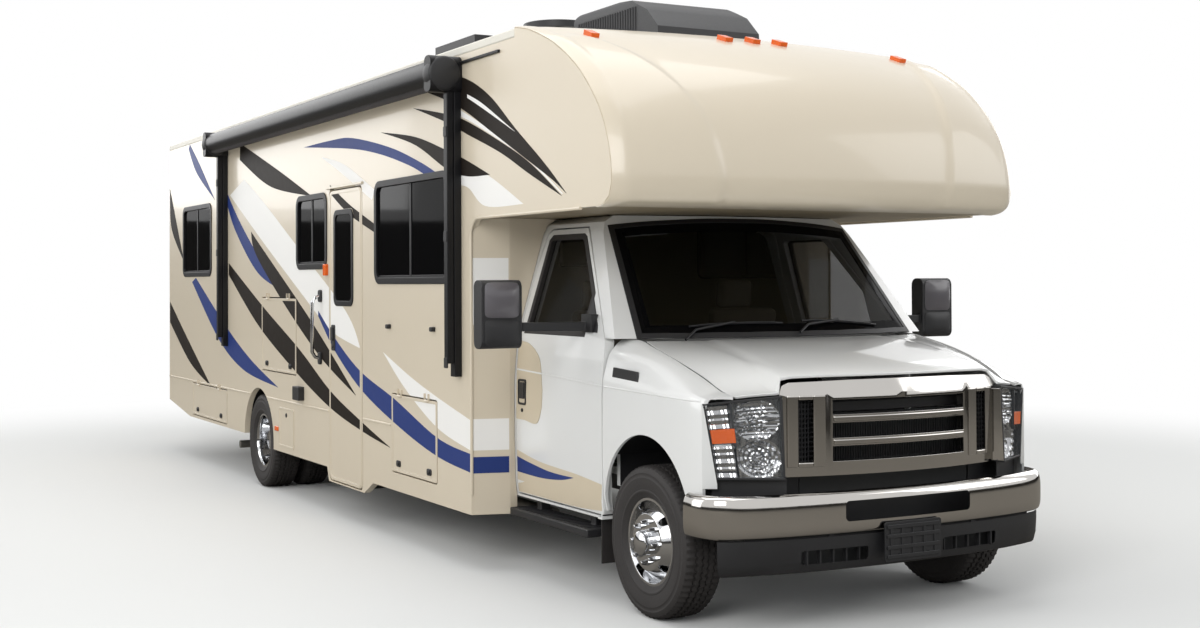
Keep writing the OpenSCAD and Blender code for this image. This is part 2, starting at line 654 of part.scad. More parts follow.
module dash_shape() xz(900, 1800) polygon([[-door_front - 4, 1000], [-560, 985], [-720, 1010],
  [-745, 1120], [-700, 1240], [-600, 1290], [-door_front - 4, 1300]]);

module dashboard() color("#4a4640") {
  dash_shape();
  difference() {
    box(-780, -door_front - 4, -360, 360, rail_top + 40, 1000);
    box(-764, -door_front, -344, 344, rail_top, 960);
  }
}

module seat() {
  xz(-230, 470) polygon([[-1310, 800], [-830, 820], [-815, 900], [-860, 940], [-1250, 930], [-1340, 1440], [-1365, 1650],
    [-1440, 1650], [-1440, 1440], [-1390, 900]]);
  box(-1260, -900, -620, -310, rail_top + 40, 812);
}

module seats() color("#8a8377") both() seat();

module steering_wheel() color("#26272a") difference() {
  translate([-860, 465, 1190]) rotate([0, 118, 0]) {
  rotate_extrude($fn = 96) translate([188, 0]) circle(15, $fn = 24);
  cylinder(r = 60, h = 40, center = true);
  for (a = [0, 120, 240]) rotate([0, 0, a]) translate([0, -14, -8]) cube([188, 28, 16]);
  cylinder(r = 28, h = 190);
  }
  dash_shape();
}

// Coach
module wall_shape() difference() {
  polygon(concat([[rear_x, tail_z], [rear_x + 814, skirt_rear], [-wheelbase - 300, skirt_rear], [-wheelbase - 300, 480],
    [-wheelbase + 300, 480], [-wheelbase + 300, skirt_front], [-entry[0] - entry[1] - 60, skirt_front],
    [-entry[0] - entry[1] - 20, entry[2] - 18], [-entry[0] + 30, entry[2] - 18], [-3060, skirt_front - 12],
    [-coach_front, skirt_front - 12], [-coach_front, over_z]], cap_edge, [[-900, wall_top], [rear_x, wall_top]]));
  translate([-wheelbase, arch_rear_z]) circle(arch_rear_r, $fn = 160);
}

module wall_right() difference() {
  wall_right_plate();
  for (z = [[entry[2] - 13, 57], [entry[3] - 44, 64]])
    translate([entry_hinge[0], entry_hinge[1], z[0]]) cylinder(r = pin_r + hub_gap, h = z[1]);
}

module wall_right_plate() xz(-ci, wall_t) difference() {
  wall_shape();
  for (w = windows_right) win(w, 0, 60);
  for (h = [hatch_front, hatch_mid, hatch_rear]) win(h, door_gap, 20);
  win(hatch_small, 0, 16);
  win(entry, door_gap, 40);
}

module wall_left() mirror([0, 1, 0]) xz(-ci, wall_t) difference() {
  wall_shape();
  for (w = windows_left) win(w, 0, 60);
  win(hatch_front, door_gap, 20);
}

module side_walls() color("#c9bda6") {
  wall_right();
  wall_left();
  for (h = [hatch_front, hatch_mid, hatch_rear]) hatch_pins(h);
  mirror([0, 1, 0]) hatch_pins(hatch_front);
}

module wall_rear() color("#c9bda6") yz(rear_x, wall_t) difference() {
  translate([-ci, tail_z]) square([2 * ci, wall_top - tail_z]);
  rrect(-450, 450, 1760, 2300, 60);
}

module wall_front() color("#c9bda6") both() difference() {
  translate([0, 0, skirt_front - 12]) linear_extrude(over_z - skirt_front + 12)
    polygon([[-coach_front, -cw], [-coach_front, -ci], [-coach_front + 8, -740], [-coach_front + 52, -740],
      [-door_rear - 20, -cab_y], [-door_rear - 20, -cab_y - 30]]);
  yz(-coach_front - 10, 200) cab_sec(-2, 300);
  yz(-coach_front - 10, 200) translate([-400, 1900]) square([800, 200]);
}

// Height of the roof's top above its edge, across the coach
function crown(y) = roof_crown * (1 - pow(y / cw, 2));

module roof() color("#d6cdb9") yz(rear_x, -rear_x - 900) polygon(concat([[cw, wall_top], [-cw, wall_top]],
  [for (i = [-12:12]) let (y = cw * i / 12) [y, wall_top + roof_edge + crown(y)]]));

module over_floor() difference() {
  box(-coach_front, 0, -ci, ci, over_z, over_z + over_t);
  box(-coach_front - 1, -880, -690, 690, over_z - 1, over_z + over_t + 1);
}

function cap_y(i, q) = q <= 1 ? cap_crease[i] * q : cap_crease[i] + (cw - cap_crease[i]) * (q - 1);
function cap_at(i, q, d) = let (e = cap_edge[i], c = cap_mid[i], y = cap_y(i, q), s = y / cw,
    j0 = max(0, i - 1), j1 = min(len(cap_mid) - 1, i + 1),
    tx = cap_mid[j1][0] - cap_mid[j0][0], tz = cap_mid[j1][1] - cap_mid[j0][1], tl = sqrt(tx * tx + tz * tz),
    ends = (i == 0 || i == len(cap_mid) - 1) ? 0 : 1,
    g = 0.25 * sqrt(max(0, 1 - pow(s, 12))) + 0.75 * (1 - pow(s, 1.9)),
    pod = ends * (i > 1 && i < 12 ? 1 : 0) * (q > 1 && q < 1.9 ? 14 : 0),
    n = q >= 2 ? [0, 1, 0] : (ends == 0 ? [0, 0, 1] : [tz / tl, q > 1.85 ? 0.5 : 0, -tx / tl]))
  [e[0] + (c[0] - e[0]) * g + (pod * n[0]) - d * n[0], y - d * n[1], e[1] + (c[1] - e[1]) * g + pod * n[2] - d * n[2]];
cap_q = [0, 0.3, 0.6, 0.85, 0.96, 1.04, 1.3, 1.6, 1.8, 1.9, 1.96, 2];
function cap_row(i, d) = concat([for (k = [len(cap_q) - 1:-1:1]) cap_at(i, cap_q[k], d)],
  [for (k = [0:len(cap_q) - 1]) let (p = cap_at(i, cap_q[k], d)) [p[0], -p[1], p[2]]]);

// Inner face of the cap: its thickness in the middle, and the edge of the side wall where it lies on the wall
function cap_in(i, p) = abs(p[1]) > 1180 ? (i == 0 ? [cap_edge[1][0] * 0.3, p[1], over_z + (cap_edge[1][1] - over_z) * 0.3]
    : [cap_edge[i][0], p[1], cap_edge[i][1]]) : p;
// Outer face of the cap, which stands a little proud of the walls at its two ends
function cap_out(i, p) = let (j0 = max(0, i - 1), j1 = min(len(cap_edge) - 1, i + 1), tx = cap_edge[j1][0] - cap_edge[j0][0],
    tz = cap_edge[j1][1] - cap_edge[j0][1], tl = sqrt(tx * tx + tz * tz))
  abs(p[1]) > 1180 ? [p[0] + 5 * tz / tl, p[1], p[2] - 5 * tx / tl] : p;

module front_cap() color("#c9bda6") skin([for (i = [0:len(cap_mid) - 1]) [for (p = cap_row(i, 0)) cap_out(i, p)]],
  [for (i = [0:len(cap_mid) - 1]) [for (k = [0:2 * len(cap_q) - 2]) let (p = cap_row(i, 0)[k], q = cap_row(i, panel_t)[k])
    abs(p[1]) > 1180 ? cap_in(i, p) : (i == 0 ? [p[0], p[1], p[2] + panel_t]
      : (i == len(cap_mid) - 1 ? [p[0], p[1], p[2] - panel_t] : q))]]);

module entry_door() color("#c9bda6") {
  xz(-ci, wall_t) difference() {
    win(entry, 0, 62);
    win(entry_win, 0, 50);
  }
  xz(-ci - 10, wall_t - 12) win(entry_win, 0, 50);
  for (z = [[entry[2] - 12, 52], [entry[3] - 40, 58]])
    translate([entry_hinge[0], entry_hinge[1], z[0]]) cylinder(r = pin_r, h = z[1]);
}

module entry_steps() color("#3a3a3a") translate([-entry[0] - entry[1] - 4, 0, 0]) yz(0, entry[1] + 8)
  polygon([[-ci, 262], [-ci + 300, 262], [-ci + 300, 470], [-ci + 540, 470], [-ci + 540, 680], [-ci + 580, 680], [-ci + 580, floor_z - 1],
    [-ci + 560, floor_z - 1], [-ci + 560, 700], [-ci + 520, 700], [-ci + 520, 490], [-ci + 280, 490], [-ci + 280, 282], [-ci, 282]]);

module low_floor() difference() {
  box(rear_x + wall_t, -coach_front, -ci, ci, floor_z, floor_top);
  box(-entry[0] - entry[1] - 20, -entry[0] + 20, -ci - 1, -ci + 600, floor_z - 1, floor_top + 1);
  both() box(-hatch_front[0] - hatch_front[1] - 26, -hatch_front[0] + 26, -ci - 1, -ci + hatch_front[4] + 16, floor_z - 1, floor_top + 1);
}

module coach_floors() color("#8d8578") {
  low_floor();
  over_floor();
}

module frame_of(w, y0, r) {
  xz(y0, 8) difference() {
    win(w, 26, r);
    win(w, -16, r);
  }
  xz(y0 + wall_t, wall_t) difference() {
    win(w, 0, r);
    win(w, -16, r);
  }
}

module window_frames() color("#17181a") {
  for (w = windows_right) frame_of(w, -cw, 60);
  mirror([0, 1, 0]) for (w = windows_left) frame_of(w, -cw, 60);
  translate([rear_x - 8, 0, 0]) yz(0, 8) difference() {
    rrect(-476, 476, 1734, 2326, 70);
    rrect(-434, 434, 1776, 2284, 50);
  }
}

module window_glass() color("#15191c") {
  for (w = windows_right) xz(-cw + 14, glass_t) win(w, -16, 60);
  mirror([0, 1, 0]) for (w = windows_left) xz(-cw + 14, glass_t) win(w, -16, 60);
  yz(rear_x, 10) rrect(-450, 450, 1760, 2300, 60);
}

module hatch_box(h) {
  g = door_gap + 4;
  difference() {
    box(-h[0] - h[1] - g - 12, -h[0] + g + 12, -ci, -ci + h[4], h[2] - g - 12, h[3] + g + 12);
    box(-h[0] - h[1] - g, -h[0] + g, -ci - 1, -ci + h[4] - 12, h[2] - g, h[3] + g);
  }
}

module hatch_boxes() color("#6d6a64") {
  for (h = [hatch_front, hatch_mid, hatch_rear]) hatch_box(h);
  mirror([0, 1, 0]) hatch_box(hatch_front);
  xz(-ci, wall_t) win(hatch_small, 0, 16);
}

// Hatch with two eyes that turn on the wall's hinge pins
module hatch(h) color("#c9bda6") {
  difference() {
    union() {
      xz(-ci - 5, wall_t - 5) win(h, 0, 14);
      hinge_at(h, 40) cylinder(r = 8, h = 40, center = true, $fn = 32);
    }
    hinge_at(h, 0) cylinder(r = pin_r + hub_gap, h = 60, center = true, $fn = 32);
  }
}

module hinge_at(h, l) for (s = [0.2, 0.8]) translate([-h[0] - h[1] * s, -cw - hatch_pin[0], h[3] - hatch_pin[1]])
  rotate([0, 90, 0]) children();

// Pins and plates on the wall for one hatch
module hatch_pins(h) hinge_at(h, 0) {
  cylinder(r = pin_r, h = 68, center = true, $fn = 32);
  for (s = [-30, 30]) translate([0, 0, s - 4]) {
    translate([-door_gap - hatch_pin[1] - 30, -5, 0]) cube([door_gap + hatch_pin[1] + 33, 10, 8]);
    translate([-door_gap - hatch_pin[1] - 30, -5, 0]) cube([24, 5 + hatch_pin[0], 8]);
  }
}

module hatch_fr() hatch(hatch_front);
module hatch_mr() hatch(hatch_mid);
module hatch_rr() hatch(hatch_rear);
module hatch_fl() mirror([0, 1, 0]) hatch(hatch_front);

// Awning: two arms on the right wall, a roller between their heads
awning_x = [-6640, -1640];
awning_head = 50;
module awning_arms() color("#1a1b1d") for (x = awning_x) {
  box(x - 32, x + 32, -cw - 44, -cw, 1100, 2790);
  xz(-cw, 196) rrect(x - awning_head, x + awning_head, 2720, 2930, 40);
}

module awning_roller() color("#1a1b1d") translate([awning_x[0] + awning_head, -cw - 110, 2832]) rotate([0, 90, 0])
  cylinder(r = 84, h = awning_x[1] - awning_x[0] - 2 * awning_head);

// Units on the roof, let down to the crowned top
module roof_units() color("#1e2227") difference() {
  union() {
    intersection() {
      xz(345, 690) polygon([[-1950, 2990], [-1950, 3262], [-1925, 3296], [-1500, 3300], [-1250, 3272], [-1060, 3190], [-940, 3080],
        [-930, 2990]]);
      yz(-2000, 1200) rrect(-345, 345, 2900, 3300, 70);
    }
    translate([-2830, 0, 2990]) cylinder(r = 30, h = 360);
    translate([-2830, 0, 3345]) cylinder(r = 240, h = 45);
    box(-2700, -2080, -960, -460, 2980, 3150);
    box(-6400, -5900, -250, 250, 2990, 3130);
  }
  roof();
}

// Clearance lamps on the cap: back from the axle, across, height, tilt
cap_lamps = [[510, -180, 2943, 18], [510, 0, 2945, 18], [510, 180, 2943, 18], [500, -1010, 2906, 20], [500, 1010, 2906, 20]];

module lamps() color("#c0702a") {
  for (y = [207 - cw, cw - 207]) box(rear_x - 22, rear_x, y - 75, y + 75, 900, 1250);
  for (y = [-700, -150, 0, 150, 700]) box(rear_x - 20, rear_x, y - 45, y + 45, 2840, 2875);
  difference() {
    for (p = cap_lamps) translate([-p[0], p[1], p[2]]) rotate([0, p[3], 0]) box(-45, 45, -24, 24, -5, 26);
    front_cap();
  }
}

module rear_bumper() color("#26272a") {
  box(rear_x - rear_bumper_d, rear_x - rear_bumper_d + 90, 77 - cw, cw - 77, 520, 640);
  for (s = [-1, 1]) {
    box(rear_x - 60, rear_x + 60, s * 432 - 33, s * 432 + 33, 462, 500);
    box(rear_x - 60, rear_x - 10, s * 432 - 33, s * 432 + 33, 462, 530);
  }
}

module veh() translate([axle_f_x, 0, 0]) children();

veh() frame_rails();
veh() frame_beams();
veh() drivetrain();
veh() exhaust();
veh() fuel_tank();
veh() front_axle();
veh() knuckle_l();
veh() knuckle_r();
veh() rear_axle();
veh() leaf_springs();
veh() tyre_fl();
veh() tyre_fr();
veh() rim_fl();
veh() rim_fr();
veh() tyres_rl();
veh() tyres_rr();
veh() rims_rl();
veh() rims_rr();
veh() cab_body();
veh() cowl();
veh() fenders();
veh() hood();
veh() front_support();
veh() grille();
veh() headlamps();
veh() bumper_front();
veh() valance();
veh() plate_bracket();
veh() windshield();
veh() cab_door_l();
veh() cab_door_r();
veh() door_glass_l();
veh() door_glass_r();
veh() mirror_l();
veh() mirror_r();
veh() running_boards();
veh() wheel_liners();
veh() dashboard();
veh() seats();
veh() steering_wheel();
veh() coach_floors();
veh() side_walls();
veh() wall_rear();
veh() wall_front();
veh() roof();
veh() front_cap();
veh() entry_door();
veh() entry_steps();
veh() window_frames();
veh() window_glass();
veh() hatch_boxes();
veh() hatch_fr();
veh() hatch_mr();
veh() hatch_rr();
veh() hatch_fl();
veh() awning_arms();
veh() awning_roller();
veh() roof_units();
veh() lamps();
veh() rear_bumper();
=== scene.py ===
import json
import math

import bmesh
import bpy
from mathutils import Matrix, Vector

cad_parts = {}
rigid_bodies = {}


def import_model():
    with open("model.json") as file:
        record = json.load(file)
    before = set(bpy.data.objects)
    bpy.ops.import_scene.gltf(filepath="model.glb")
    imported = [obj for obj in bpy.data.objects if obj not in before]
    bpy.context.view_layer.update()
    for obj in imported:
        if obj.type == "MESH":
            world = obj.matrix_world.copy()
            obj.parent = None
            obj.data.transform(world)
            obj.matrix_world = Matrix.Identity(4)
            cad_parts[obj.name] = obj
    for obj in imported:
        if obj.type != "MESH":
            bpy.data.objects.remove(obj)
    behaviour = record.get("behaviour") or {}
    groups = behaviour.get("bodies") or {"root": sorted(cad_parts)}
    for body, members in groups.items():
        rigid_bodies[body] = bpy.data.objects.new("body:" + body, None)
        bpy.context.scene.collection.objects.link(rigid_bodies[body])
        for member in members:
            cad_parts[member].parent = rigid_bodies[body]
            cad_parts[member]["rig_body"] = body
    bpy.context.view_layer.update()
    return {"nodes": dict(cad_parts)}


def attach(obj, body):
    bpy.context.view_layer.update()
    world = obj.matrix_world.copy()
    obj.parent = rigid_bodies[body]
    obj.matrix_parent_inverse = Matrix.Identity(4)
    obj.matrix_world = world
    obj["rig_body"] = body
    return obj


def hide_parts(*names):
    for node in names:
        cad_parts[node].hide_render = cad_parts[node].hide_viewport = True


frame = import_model()
scene = bpy.context.scene
scene.view_settings.view_transform = "Standard"

# Camera
# It stands off the right front corner at eye height, about eight metres from the cab,
# with the lens and the small shift that the photograph's framing needs.
camera = bpy.data.objects.new("camera", bpy.data.cameras.new("camera"))
scene.collection.objects.link(camera)
scene.camera = camera
camera.data.sensor_width = 36
camera.data.lens = 45.68
camera.data.shift_x = 0.0009
camera.data.shift_y = -0.0447
camera.data.clip_end = 200
look = Vector((-0.8769, 0.4805, 0.0135)).normalized()
across = look.cross(Vector((0.0142, -0.0023, 0.9999))).normalized()
upward = across.cross(look)
stand = Matrix.Translation((10.4235, -4.749, 1.643))
camera.matrix_world = stand @ Matrix((across, upward, -look)).transposed().to_4x4()


# Floor and studio light
# A plain pale floor that runs out into a white surround, under one large soft box overhead,
# one off the front right corner and weaker ones that open the other sides.
def lin(code):
    channels = [int(code[i:i + 2], 16) / 255 for i in (0, 2, 4)]
    return tuple(c / 12.92 if c <= 0.04045 else ((c + 0.055) / 1.055) ** 2.4 for c in channels) + (1.0,)


def add(tree, kind, sockets=None, **settings):
    made = tree.nodes.new(kind)
    for key, value in settings.items():
        setattr(made, key, value)
    for key, value in (sockets or {}).items():
        if isinstance(value, bpy.types.NodeSocket):
            tree.links.new(value, made.inputs[key])
        else:
            made.inputs[key].default_value = value
    return made


def blank(name):
    made = bpy.data.materials.new(name)
    made.use_nodes = True
    made.node_tree.nodes.clear()
    return made, made.node_tree


def seen_ray(tree):
    # 1 for what the camera sees, straight, in metal or through glass, and 0 for light on the object
    rays = add(tree, "ShaderNodeLightPath")
    clear = add(tree, "ShaderNodeMath", {0: rays.outputs["Is Glossy Ray"],
                                         1: rays.outputs["Is Transmission Ray"]}, operation="MAXIMUM")
    seen = add(tree, "ShaderNodeMath", {0: rays.outputs["Is Camera Ray"], 1: clear.outputs[0]},
               operation="MAXIMUM")
    return seen.outputs[0]


floor_half = 70
white_from, white_to = 6.5, 11.0
floor_corners = [(floor_half * a, floor_half * b, 0) for a, b in ((-1, -1), (1, -1), (1, 1), (-1, 1))]
floor_mesh = bpy.data.meshes.new("studio_floor")
floor_mesh.from_pydata(floor_corners, [], [(0, 1, 2, 3)])
studio_floor = bpy.data.objects.new("studio_floor", floor_mesh)
scene.collection.objects.link(studio_floor)
floor_paint, tree = blank("white_studio_floor")
place = add(tree, "ShaderNodeTexCoord")
reach = add(tree, "ShaderNodeVectorMath", {0: place.outputs["Object"]}, operation="LENGTH")
far = add(tree, "ShaderNodeMapRange", {"Value": reach.outputs["Value"], "From Min": white_from,
                                       "From Max": white_to}, interpolation_type="SMOOTHSTEP")
share = add(tree, "ShaderNodeMath", {0: far.outputs[0], 1: seen_ray(tree)}, operation="MULTIPLY")
matt = add(tree, "ShaderNodeBsdfDiffuse", {"Color": lin("e4e4e2"), "Roughness": 0.4})
white = add(tree, "ShaderNodeEmission", {"Color": (1, 1, 1, 1), "Strength": 1.0})
both_floors = add(tree, "ShaderNodeMixShader", {0: share.outputs[0], 1: matt.outputs[0], 2: white.outputs[0]})
add(tree, "ShaderNodeOutputMaterial", {"Surface": both_floors.outputs[0]})
floor_mesh.materials.append(floor_paint)

# A grey card on the floor and a low dark flag all round, as a photographer sets for chrome.
# Only reflections see them: they hide nothing and shade nothing.
card_size = 34.0
flag_height = 3.4
sides_round = 48
turns = [math.tau * k / sides_round for k in range(sides_round)]
ring = [(card_size * math.cos(a), card_size * math.sin(a)) for a in turns]
low_ring = [(x, y, 0.0) for x, y in ring]
high_ring = [(x, y, flag_height) for x, y in ring]
walls = []
for k in range(sides_round):
    after = (k + 1) % sides_round
    walls.append((k, after, sides_round + after, sides_round + k))
for name, colour, verts, faces in (
    ("floor_card", "8d8880", [(x, y, 0.004) for x, y in ring], [tuple(range(sides_round))]),
    ("ring_flag", "54504b", low_ring + high_ring, walls),
):
    card_mesh = bpy.data.meshes.new(name)
    card_mesh.from_pydata(verts, [], faces)
    card = bpy.data.objects.new(name, card_mesh)
    scene.collection.objects.link(card)
    for ray in ("camera", "diffuse", "transmission", "volume_scatter", "shadow"):
        setattr(card, "visible_" + ray, False)
    card_paint, tree = blank(name + "_paper")
    paper = add(tree, "ShaderNodeBsdfDiffuse", {"Color": lin(colour), "Roughness": 0.5})
    add(tree, "ShaderNodeOutputMaterial", {"Surface": paper.outputs[0]})
    card_mesh.materials.append(card_paint)

scene.world = bpy.data.worlds.new("studio")
scene.world.use_nodes = True
tree = scene.world.node_tree
tree.nodes.clear()
dim = add(tree, "ShaderNodeBackground", {"Color": (0.94, 0.97, 1.0, 1), "Strength": 0.45})
pale = add(tree, "ShaderNodeBackground", {"Color": (1, 1, 1, 1), "Strength": 1.0})
sky = add(tree, "ShaderNodeMixShader", {0: seen_ray(tree), 1: dim.outputs[0], 2: pale.outputs[0]})
add(tree, "ShaderNodeOutputWorld", {"Surface": sky.outputs[0]})

for name, place_at, aim, size, power in (
    ("overhead_box", (1.5, -1.0, 9.5), (0.5, 0, 1), 9.0, 520),
    ("front_right_box", (11.0, -9.5, 6.5), (2.5, 0, 1.2), 6.0, 600),
    ("front_left_box", (9.0, 9.0, 6.0), (2.0, 0, 1.2), 6.0, 230),
    ("rear_box", (-12.0, -3.0, 6.0), (-2.0, 0, 1.4), 7.0, 330),
    ("right_box", (-3.0, -12.5, 5.0), (-1.8, 0, 1.4), 8.0, 430),
    ("left_box", (-2.0, 12.5, 5.0), (-1.0, 0, 1.4), 8.0, 380),
):
    lamp_data = bpy.data.lights.new(name, "AREA")
    lamp_data.size = size
    lamp_data.energy = power
    soft_box = bpy.data.objects.new(name, lamp_data)
    scene.collection.objects.link(soft_box)
    soft_box.location = place_at
    soft_box.rotation_euler = (Vector(aim) - Vector(place_at)).to_track_quat("-Z", "Y").to_euler()


# Chassis rails and cross beams
# Two pressed steel channels and the beams that carry the floor, dipped in black primer.
# The drawn solids are right, so each gets rounded edges and its own coat.
front_axle_x = 4.0275


def at(x, y, z):
    # Stations in millimetres from the front axle, the middle line and the ground
    return Vector((front_axle_x + x / 1000, y / 1000, z / 1000))


def coat(name, colour, rough, metal=0.0, patch=300, shift=0.05, grain=30, bump=0.1, clear=0.0, spec=0.5,
         spread=0.06):
    # patch and grain are in millimetres: the size of the slow colour change and of the surface texture
    made, t = blank(name)
    spot = add(t, "ShaderNodeTexCoord")
    slow = add(t, "ShaderNodeTexNoise", {"Vector": spot.outputs["Object"], "Scale": 1000 / patch,
                                         "Detail": 3.0})
    fine = add(t, "ShaderNodeTexNoise", {"Vector": spot.outputs["Object"], "Scale": 1000 / grain,
                                         "Detail": 2.0})
    base = lin(colour)
    low = tuple(c * (1 - shift) for c in base[:3]) + (1,)
    high = tuple(min(1, c * (1 + shift)) for c in base[:3]) + (1,)
    tone = add(t, "ShaderNodeMix", {0: slow.outputs[0], 6: low, 7: high}, data_type="RGBA")
    dull = add(t, "ShaderNodeMapRange", {"Value": fine.outputs[0], "To Min": max(0.02, rough - spread),
                                         "To Max": rough + spread})
    relief = add(t, "ShaderNodeBump", {"Height": fine.outputs[0], "Strength": 0.35, "Distance": bump / 1000})
    body = add(t, "ShaderNodeBsdfPrincipled", {
        "Base Color": tone.outputs[2], "Metallic": metal, "Roughness": dull.outputs[0],
        "Normal": relief.outputs[0], "Coat Weight": clear, "Coat Roughness": 0.06,
        "Specular IOR Level": spec})
    add(t, "ShaderNodeOutputMaterial", {"Surface": body.outputs[0]})
    return made


def settle(name, mesh, finish, body, edge=0.0, turn=32, stands_for=(), parts=2):
    # A finished mesh becomes a piece: smooth faces, rounded edges in millimetres, and the body it rides on
    mesh.materials.clear()
    mesh.materials.append(finish)
    mesh.shade_smooth()
    mesh.set_sharp_from_angle(angle=math.radians(turn))
    piece = bpy.data.objects.new(name, mesh)
    scene.collection.objects.link(piece)
    if edge:
        bevel = piece.modifiers.new("rounded edges", "BEVEL")
        bevel.width = edge / 1000
        bevel.segments = parts
        bevel.limit_method = "ANGLE"
        bevel.angle_limit = math.radians(turn)
        bevel.harden_normals = True
        piece.modifiers.new("even shading", "WEIGHTED_NORMAL").keep_sharp = True
    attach(piece, body)
    if stands_for:
        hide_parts(*stands_for)
    return piece


def dress(node, finish, edge=3.0, turn=32, parts=2, split=False):
    # A merged, smooth-edged copy of a drawn solid stands for it; split cuts its many-sided faces up
    source = frame["nodes"][node]
    bm = bmesh.new()
    bm.from_mesh(source.data)
    bmesh.ops.remove_doubles(bm, verts=bm.verts, dist=0.00003)
    bmesh.ops.dissolve_limit(bm, angle_limit=math.radians(0.1), verts=bm.verts, edges=bm.edges)
    if split:
        bmesh.ops.triangulate(bm, faces=[face for face in bm.faces if len(face.verts) > 4])
    mesh = bpy.data.meshes.new(node + "_finished")
    bm.to_mesh(mesh)
    bm.free()
    return settle(node + "_finished", mesh, finish, source["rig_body"], edge, turn, (node,), parts)


# Dipped black primer: low sheen with a thin film of road dust
black_primer = coat("black_dip_primer", "232425", 0.55, patch=240, shift=0.2, grain=18, bump=0.4)
for node in ("frame_rails", "frame_beams"):
    dress(node, black_primer, 4)

# Engine, exhaust and fuel tank
# A plain cast engine and gearbox block with its driveshaft, a dull aluminised exhaust and a pressed tank.
# Cast iron is rough and mottled at the size of a sand grain, drawn coarser here so that it shows.
cast_iron = coat("cast_iron", "4a4b4d", 0.6, metal=0.6, patch=90, shift=0.18, grain=9, bump=0.8)
dull_steel = coat("aluminised_steel", "8b8984", 0.42, metal=0.9, patch=160, shift=0.15, grain=14, bump=0.2)
dress("drivetrain", cast_iron, 10, parts=3)
dress("exhaust", dull_steel, 1.5, 40)
dress("fuel_tank", black_primer, 30, parts=4)

# Axles, springs and steering knuckles
# Bare forged and cast parts, with stacked spring leaves over the rear axle.
for node, edge in (("front_axle", 5), ("rear_axle", 3), ("leaf_springs", 3), ("knuckle_l", 4),
                   ("knuckle_r", 4)):
    dress(node, cast_iron, edge, 36)


# Tyres
# Commercial radial tyres with five tread ribs, cut shoulder blocks and raised rings on the wall.
# Each is turned from one section, and its tread is let in station by station around the ring.
def close_up(bm, name):
    bmesh.ops.remove_doubles(bm, verts=bm.verts, dist=0.000001)
    bmesh.ops.recalc_face_normals(bm, faces=bm.faces)
    mesh = bpy.data.meshes.new(name)
    bm.to_mesh(mesh)
    bm.free()
    return mesh


def wrap(bm, loops):
    # Faces all round from each loop of points to the next, and from the last to the first
    for a, b in zip(loops, loops[1:] + loops[:1]):
        for i in range(len(a)):
            j = (i + 1) % len(a)
            bm.faces.new((a[i], a[j], b[j], b[i]))


wheel_radius = 372
rear_axle = -5690
front_wheel, rear_outer, rear_inner = 881, 1125, 853
tyre_wall = [(207, 80), (214, 90), (226, 97), (240, 103), (243, 106), (250, 107), (254, 105.5),
             (275, 109), (296, 111.5), (312, 112), (316, 110), (330, 108.5), (334, 110), (342, 108),
             (350, 104), (357, 100)]
tread_ribs = [(364, 96), (369, 88), (371, 57), (361, 55), (361, 47), (372, 45), (372, 22), (361, 20),
              (361, 12), (372, 10)]
tread_pitches = 66
pitch_steps = (0.0, 0.44, 0.5, 0.94)
shoulder_cut, rib_cut, zigzag = 9, 6, 3.2


def tyre(bm, x, y):
    half = tyre_wall + tread_ribs
    loop = half + [(r, -w) for r, w in reversed(half)] + [(228, -70), (226, 70)]
    rings = []
    for k in range(tread_pitches):
        for n, part in enumerate(pitch_steps):
            turn = 2 * math.pi * (k + part) / tread_pitches
            ring = []
            for r, w in loop:
                deep = r
                slide = 0.0
                if r >= 364 and abs(w) > 56 and n in (0, 3):
                    deep = r - shoulder_cut
                if 357 <= r and abs(w) < 58:
                    slide = zigzag if n < 2 else -zigzag
                    if r > 370 and 20 < abs(w) < 47 and n in (0, 3):
                        deep = r - rib_cut
                    if r > 370 and abs(w) < 12 and n in (1, 2):
                        deep = r - rib_cut
                spot = at(x + deep * math.cos(turn), y + w + slide, wheel_radius + deep * math.sin(turn))
                ring.append(bm.verts.new(spot))
            rings.append(ring)
    wrap(bm, rings)


# Tyre rubber: carbon black, matt, greyed by dust
tyre_rubber = coat("tyre_rubber", "2b2827", 0.68, patch=120, shift=0.18, grain=7, bump=0.5, spread=0.1)
for node, body, x, rows in (
    ("tyre_fr", "wheel_fr", 0, (-front_wheel,)),
    ("tyre_fl", "wheel_fl", 0, (front_wheel,)),
    ("tyres_rr", "wheels_rr", rear_axle, (-rear_outer, -rear_inner)),
    ("tyres_rl", "wheels_rl", rear_axle, (rear_outer, rear_inner)),
):
    bm = bmesh.new()
    for y in rows:
        tyre(bm, x, y)
    tyres = settle(node + "_rubber", close_up(bm, node + "_rubber"), tyre_rubber, body, turn=28,
                   stands_for=(node,))

# Wheels and their covers
# Wheel covers pressed over steel rims, with hand holes, a hub cap and eight nut covers.
# The covers follow the drawn rims; the nuts are set round the hub by a node tree.
# Polished stainless steel: mirror bright, with a soft haze where road grit has dulled it
stainless = coat("polished_stainless", "cfd0d2", 0.1, metal=1.0, patch=60, shift=0.1, grain=40, bump=0.25,
                 spread=0.06)
for node in ("rim_fr", "rim_fl", "rims_rr", "rims_rl"):
    dress(node, stainless, 2.5, 30, 3)


def lathe(bm, profile, centre, steps=32, axis="y"):
    # A section of (radius, distance along the axis) in millimetres is turned round its axis
    rings = []
    for k in range(steps):
        a = 2 * math.pi * k / steps
        ring = []
        for r, d in profile:
            u, v = r * math.cos(a), r * math.sin(a)
            offset = {"y": (u, d, v), "z": (u, v, d), "x": (d, u, v)}[axis]
            ring.append(bm.verts.new(at(*(c + o for c, o in zip(centre, offset)))))
        rings.append(ring)
    for a, b in zip(rings, rings[1:] + rings[:1]):
        for i in range(len(profile) - 1):
            bm.faces.new((a[i], a[i + 1], b[i + 1], b[i]))


